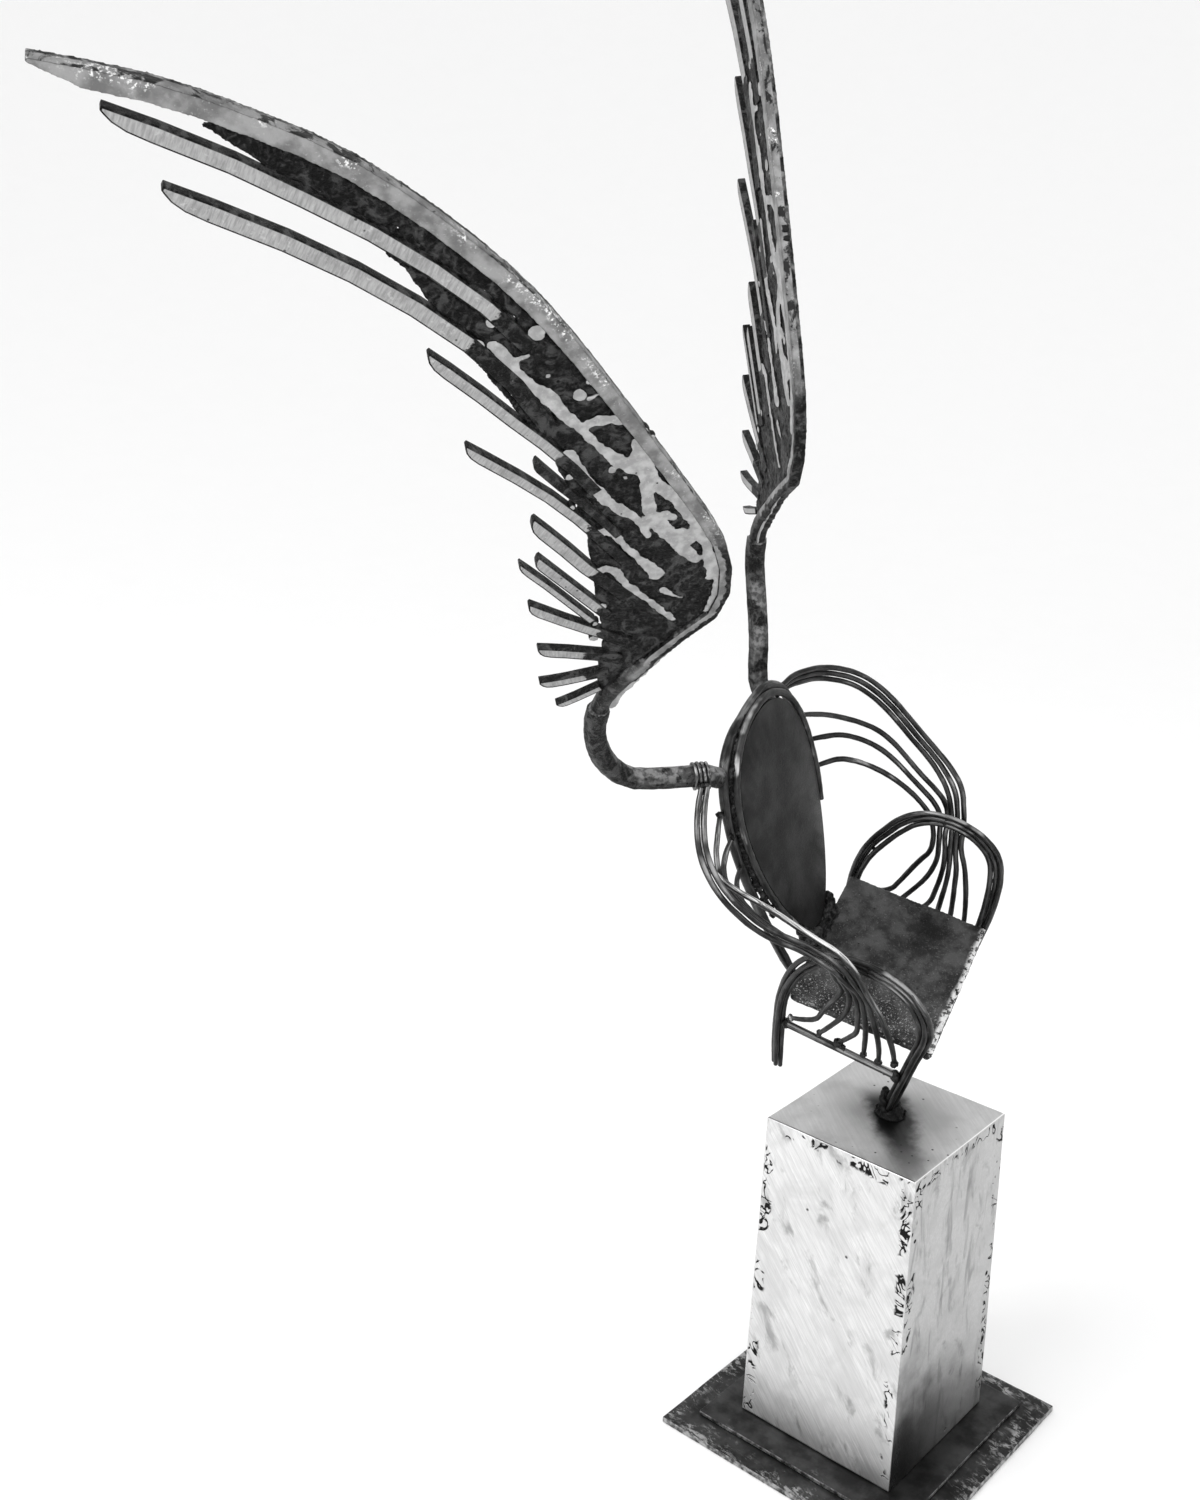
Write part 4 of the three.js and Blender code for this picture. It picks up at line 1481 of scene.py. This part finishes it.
    def lumps(self, name: str, places: list[Vector], size: float) -> None:
        """Lumps of weld metal run together into one piece.

        Args:
            name: the piece's name.
            places: where the lumps lie.
            size: their rough radius in metres.
        """
        chance = random.Random(f"{SEED} {name}")
        made = [
            WeldBead(place, size * chance.uniform(0.75, 1.2), index).build()
            for index, place in enumerate(places)
        ]
        joined = Bench.join(made, name)
        Bench.remesh(joined, self.crust)
        Bench.dress(joined, ScalyWeld(), angle=80)
        Bench.settle(joined)

    @staticmethod
    def lowest(line: list[Vector]) -> Vector:
        """The end of a line that lies lower."""
        return min(line[0], line[-1], key=lambda place: place.z)

    @staticmethod
    def highest(line: list[Vector]) -> Vector:
        """The end of a line that lies higher."""
        return max(line[0], line[-1], key=lambda place: place.z)

    def build(self) -> None:
        """Makes the whole chair."""
        self.seat()
        self.seat_frame()
        self.panel()
        self.rods()
        self.welds()
        self.seam()
        self.apron()


@dataclass
class FootWeld:
    """The lumpy weld that holds the standing foot on the plinth."""

    relief: Relief = Relief(0.6 * MM, 2, ((7 * MM, 2.2 * MM, 8.0), (2.4 * MM, 0.7 * MM, 9.0)))

    def build(self) -> None:
        """Makes the weld."""
        lump = Bench.copy_of("foot_weld", "foot_weld_metal")
        Bench.remesh(lump, self.relief)
        low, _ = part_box("foot_weld")
        for vertex in lump.data.vertices:
            vertex.co.z = max(vertex.co.z, low.z)
        Bench.dress(lump, FOOT_METAL, angle=80)
        Bench.settle(lump, ["foot_weld"])


@dataclass(frozen=True)
class Run:
    """A run of weld metal in a wing's plane, in millimetres: its places, and the widths along it."""

    places: tuple
    widths: tuple

    def width_at(self, index: int) -> float:
        """The width at one of the places, spread evenly between the widths given."""
        share = index / (len(self.places) - 1) * (len(self.widths) - 1)
        low = min(int(share), len(self.widths) - 2)
        return self.widths[low] + (share - low) * (self.widths[low + 1] - self.widths[low])


@dataclass(frozen=True)
class Feather:
    """How far a feather is ground: the place in the wing's plane, in millimetres, where its scale begins."""

    light_from: tuple | None = None
    blob: float = 0.0


FEATHERS = (
    Feather((118.5, 305), 2.6),
    Feather((125, 297)),
    Feather((89.5, 235)),
    Feather(None, 1.8),
    Feather((73, 194)),
    Feather((68.7, 165)),
    Feather((64, 142), 2.4),
    Feather((66, 131), 1.8),
    Feather((66, 121), 2.4),
    Feather((70, 106)),
    Feather((68, 92)),
    Feather((58, 88)),
)
DARK_BLOB = (81.7, 206.5)

LEADING_EDGE = (
    (262.7, 417.7), (226.4, 408), (196.4, 394.8), (164.8, 377.2), (130, 348.4), (97.1, 313.2), (58.8, 257.7),
    (17.4, 192.5), (6.5, 168), (3.4, 148), (6, 131), (17.5, 118), (31, 103), (42, 86),
)

WELD_RUNS = (
    Run(((117, 295), (111, 286), (106, 277), (96, 268.5), (88.5, 258.5), (81, 250.5)), (5, 6.5, 6.5, 7, 5)),
    Run(((81, 250.5), (75.5, 243), (69.5, 236.5), (63.5, 231), (56.5, 227)), (5, 4.5, 6, 9)),
    Run(((57, 241), (54, 229), (49, 218)), (6, 11, 7)),
    Run(((111, 286), (104, 289)), (5, 3)),
    Run(((51, 216), (48, 201), (42.5, 191.5), (35.5, 183.5), (29.5, 175), (24, 169)), (6, 6.5, 8, 8, 5)),
    Run(((50, 218), (42.5, 212.5), (35.5, 205), (30.5, 197), (25.5, 187.5), (20, 178)), (7, 6.5, 6.5, 6, 6)),
    Run(((20, 178), (18, 168), (15.5, 157)), (6, 5)),
    Run(((42, 199), (37, 196)), (4, 4)),
    Run(((33, 188), (29, 185)), (4, 4)),
    Run(((17.5, 172), (13, 160), (12, 147), (14.8, 134)), (4.5, 4.5, 4)),
    Run(((21, 121), (28, 110.5), (36.5, 99), (43, 89), (49.5, 79), (53, 69)), (4, 5, 5, 4)),
    Run(
        ((85.5, 237.5), (79.5, 227), (72.5, 215.5), (65.5, 207), (58, 201), (52, 195), (47.5, 186)),
        (5, 6, 5.5, 4),
    ),
    Run(((71, 190.5), (64.5, 190), (58, 182), (51, 173.5), (44, 165.5), (41, 161.5)), (5, 4.2, 4.2, 8)),
    Run(
        ((68.7, 165.7), (61.8, 166.5), (56, 159), (50.3, 152), (42, 143), (35.5, 135.5), (29.5, 129.5)),
        (5, 4, 3.7),
    ),
    Run(((37, 150), (32.5, 147), (27.5, 143)), (4, 2)),
    Run(((78, 252.5), (73, 254), (67, 253.5), (61.5, 251)), (5.5, 5.5, 4)),
    Run(((78.5, 265.5), (72, 268.5)), (3, 2)),
)

WELD_SPOTS = (
    (101, 299.5, 3.7), (124.5, 295, 3.5), (83, 268, 3), (79.5, 274.5, 1.5), (96, 278.5, 1), (55, 246.5, 2.2),
    (51.5, 243, 1.7), (83.5, 224, 2), (81, 207, 1.3), (60.5, 221.5, 1.5), (66, 226.5, 2), (28.5, 181, 3),
)


@dataclass
class Wing:
    """One wing: its leading bar, the web of weld metal with its ground runs, and the feathers.

    The rim is the burnt edge of a feather's face, and flush is how far the ground runs stand off the plane.
    The turns are wire round the left stalk: how many, their radius, where they start and how far apart.
    """

    side: Side
    rim: float = 0.7 * MM
    bevel: float = 0.3 * MM
    flush: float = 1.9 * MM
    edge: Relief = Relief(0.7 * MM, 3, ((5 * MM, 0.15 * MM, 11.0),))
    scale: Relief = Relief(0.8 * MM, 2, ((6 * MM, 0.6 * MM, 13.0), (1.8 * MM, 0.35 * MM, 17.0)))
    runs: Relief = Relief(0.65 * MM, 3, ((4 * MM, 0.9 * MM, 21.0),))
    run_sections: int = 4
    turns: int = 4
    turn_radius: float = 6.6 * MM
    turn_from: float = -3.5 * MM
    turn_apart: float = 2.3 * MM
    wire: float = 0.85 * MM
    there: Matrix = field(init=False)
    back: Matrix = field(init=False)
    way: Vector = field(init=False)

    def __post_init__(self) -> None:
        """Works out where the wing stands."""
        self.there = wing_matrix(self.side)
        self.back = self.there.inverted()
        self.way = (self.there.to_3x3() @ Vector((0, 0, 1))).normalized()

    def called(self, part: str) -> str:
        """The name of one of this wing's parts."""
        return f"{self.side.value}_wing_{part}"

    def lit_side(self) -> float:
        """Which of the wing's two faces is towards the front left: 1 for its plane's normal, or -1."""
        seen_from = self.back @ Vector((-0.8, -0.45, 0.73))
        return 1.0 if seen_from.z > 0 else -1.0

    def in_plane(self, obj: bpy.types.Object) -> list[Vector]:
        """An object's points in the wing's own axes."""
        return [self.back @ vertex.co for vertex in obj.data.vertices]

    def feather(self, index: int, feather: Feather) -> None:
        """One feather, burnt on its sides and rim, and ground from its tip to where its scale begins.

        Args:
            index: which feather it is.
            feather: how far it is ground.
        """
        node = self.called(f"feather_{index}")
        bar = Bench.copy_of(node, f"{node}_bar")
        for layer in list(bar.data.uv_layers):
            bar.data.uv_layers.remove(layer)
        Bench.paint(bar, GroundBar(), BURNT_EDGE)
        Bench.select_faces(bar, lambda face: abs(face.normal.dot(self.way)) > 0.95)
        with Bench.editing(whole=False):
            bpy.ops.mesh.inset(thickness=self.rim, depth=0)
        for face in bar.data.polygons:
            face.material_index = int(not face.select or feather.light_from is None)
        sharp = math.radians(40)
        Bench.modify(bar, "BEVEL", width=self.bevel, segments=2, limit_method="ANGLE", angle_limit=sharp)
        self.chart(bar, feather.light_from or DARK_BLOB)
        Bench.soften(bar, 30)
        Bench.settle(bar, [node])

    def chart(self, bar: bpy.types.Object, light_from: tuple) -> None:
        """Lays a chart on a feather, in metres along it towards its tip and across it.

        Args:
            bar: the feather.
            light_from: the chart's origin in the wing's plane, in millimetres.
        """
        places = [place.to_2d() for place in self.in_plane(bar)]
        tip = max(places, key=lambda place: place.x)
        root = min(places, key=lambda place: place.x)
        along = (tip - root).normalized()
        across = Vector((-along.y, along.x))
        layer = bar.data.uv_layers.new(name="along")
        for loop in bar.data.loops:
            offset = places[loop.vertex_index] - Vector(light_from) * MM
            layer.data[loop.index].uv = (offset.dot(along), offset.dot(across))

    def leading_bar(self) -> None:
        """The bar along the leading edge and its stalk."""
        node = self.called("leading_bar")
        bar = Bench.copy_of(node, f"{node}_edge")
        Bench.remesh(bar, self.edge)
        outline = [Vector((x, y, 0)) * MM for x, y in LEADING_EDGE]
        zones = []
        for place in self.in_plane(bar):
            flat = Vector((place.x, place.y, 0))
            gone, on_line, run = nearest(outline, flat)
            inward = run.cross(flat - on_line).z
            zones.append(Vector((gone, inward, place.z)))
        Bench.store(bar, "zones", zones)
        finish = EdgeBar(f"{self.side.value}_edge_bar", tuple(self.way), front=self.lit_side())
        Bench.dress(bar, finish, angle=60)
        Bench.settle(bar, [node])

    def wire_turns(self) -> None:
        """The turns of thick wire round the stalk, beside the hoop."""
        turns = []
        for index in range(self.turns):
            along = self.turn_from + self.turn_apart * index
            bpy.ops.object.select_all(action="DESELECT")
            bpy.ops.mesh.primitive_torus_add(
                major_radius=self.turn_radius, minor_radius=self.wire, major_segments=40, minor_segments=10,
                location=(along, along / 16, 0), rotation=(0, math.radians(90), 0),
            )
            turn = bpy.context.object
            bpy.ops.object.transform_apply()
            Bench.roughen(turn, 4 * MM, 0.5 * MM, 41.0 + index)
            turns.append(turn)
        wire = Bench.join(turns, self.called("wire_turns"))
        for vertex in wire.data.vertices:
            vertex.co = self.there @ vertex.co
        Bench.dress(wire, WIRE, angle=60)
        Bench.settle(wire)

    def web(self) -> None:
        """The black sheet of weld metal between the feathers."""
        node = self.called("web")
        sheet = Bench.copy_of(node, f"{node}_scale")
        Bench.remesh(sheet, self.scale)
        Bench.dress(sheet, ScalyWeld(), angle=80)
        Bench.settle(sheet, [node])

    def spots(self) -> list[tuple]:
        """The round spots of ground weld metal, with those that end the feathers' ground faces."""
        ends = [(*(feather.light_from or DARK_BLOB), feather.blob) for feather in FEATHERS if feather.blob]
        return [*WELD_SPOTS, *ends]

    def run_of_weld(self, run: Run) -> bpy.types.Object:
        """A tube along a run of weld metal, in the wing's plane."""
        places = [Vector((*place, 0)) * MM for place in run.places]
        widths = [run.width_at(index) for index in range(len(places))]
        return Bench.tube("run_of_weld", places, widths, 0.5 * MM, self.run_sections)

    def weld_runs(self) -> None:
        """The runs and spots of weld metal in the web, ground flush with the feathers."""
        parts = [self.run_of_weld(run) for run in WELD_RUNS]
        ends = [
            (*run.places[index], 0.5 * run.width_at(index % len(run.places)))
            for run in WELD_RUNS for index in (0, -1)
        ]
        for x, y, radius in [*self.spots(), *ends]:
            place = (x * MM, y * MM, 0)
            bpy.ops.mesh.primitive_ico_sphere_add(subdivisions=3, radius=radius * MM, location=place)
            parts.append(bpy.context.object)
        runs = Bench.join(parts, self.called("ground_welds"))
        with Bench.editing():
            bpy.ops.transform.resize(value=(1, 1, 1.7), center_override=(0, 0, 0))
        Bench.remesh(runs, self.runs)
        for vertex in runs.data.vertices:
            vertex.co.z = max(-self.flush, min(self.flush, vertex.co.z))
            vertex.co = self.there @ vertex.co
        with Bench.editing():
            bpy.ops.mesh.normals_make_consistent(inside=False)
        Bench.dress(runs, FlushWeld(f"{self.side.value}_flush_weld", tuple(self.way)), angle=50)
        Bench.settle(runs)

    def build(self) -> None:
        """Makes the whole wing."""
        self.leading_bar()
        self.web()
        self.weld_runs()
        if self.side is Side.LEFT:
            self.wire_turns()
        for index, feather in enumerate(FEATHERS, start=1):
            self.feather(index, feather)


@dataclass
class Studio:
    """The pale floor, the soft light and the camera."""

    camera_place: tuple = (-778.94 * MM, -441.61 * MM, 733.29 * MM)
    camera_turn: tuple = (71.2107, -1.3828, -48.9012)
    lens: float = 51.388
    sensor: float = 36.0
    floor_size: float = 14.0
    flat: float = 1.8
    rise: float = 0.12
    sky: float = 0.97
    aim: tuple = (0, 0, 0.35)
    lamps: tuple = (("key", (-1.6, 0.6, 1.7), 1.4, 26), ("fill", (-0.4, -1.8, 1.2), 1.6, 9))

    def floor(self) -> None:
        """A large pale floor that rises smoothly into the background."""
        bpy.ops.object.select_all(action="DESELECT")
        bpy.ops.mesh.primitive_grid_add(x_subdivisions=56, y_subdivisions=56, size=self.floor_size)
        ground = bpy.context.object
        ground.name = "floor"
        for vertex in ground.data.vertices:
            vertex.co.z = self.rise * max(0.0, vertex.co.length - self.flat) ** 2
        bpy.ops.object.shade_smooth()
        ground.data.materials.append(PaleFloor().material())

    def light(self, name: str, place: tuple, size: float, power: float) -> None:
        """One soft square light that points at the sculpture.

        Args:
            name: the light's name.
            place: where it stands.
            size: its side.
            power: its power in watts.
        """
        data = bpy.data.lights.new(name, "AREA")
        data.shape = "SQUARE"
        data.size = size
        data.energy = power
        lamp = bpy.data.objects.new(name, data)
        lamp.location = place
        aim = Vector(self.aim) - Vector(place)
        lamp.rotation_euler = aim.to_track_quat("-Z", "Y").to_euler()
        bpy.context.scene.collection.objects.link(lamp)

    def world(self) -> None:
        """An even pale sky."""
        world = bpy.data.worlds.new("pale_sky")
        world.use_nodes = True
        background = world.node_tree.nodes["Background"]
        background.inputs["Color"].default_value = (1, 1, 1, 1)
        background.inputs["Strength"].default_value = self.sky
        bpy.context.scene.world = world

    def camera(self) -> None:
        """The camera at the photograph's place and angle."""
        data = bpy.data.cameras.new("camera")
        data.sensor_fit = "HORIZONTAL"
        data.sensor_width = self.sensor
        data.lens = self.lens
        eye = bpy.data.objects.new("camera", data)
        eye.location = self.camera_place
        eye.rotation_euler = [math.radians(angle) for angle in self.camera_turn]
        bpy.context.scene.collection.objects.link(eye)
        bpy.context.scene.camera = eye

    def build(self) -> None:
        """Sets up the whole studio."""
        self.floor()
        for lamp in self.lamps:
            self.light(*lamp)
        self.world()
        self.camera()
        bpy.context.scene.view_settings.view_transform = "Standard"


def main() -> None:
    """Builds every sub-assembly in order."""
    logging.basicConfig(level=logging.INFO, format="%(message)s")
    Studio().build()
    Base().build()
    Plinth().build()
    FootWeld().build()
    Chair().build()
    for side in Side:
        Wing(side).build()


if __name__ == "__main__":
    main()
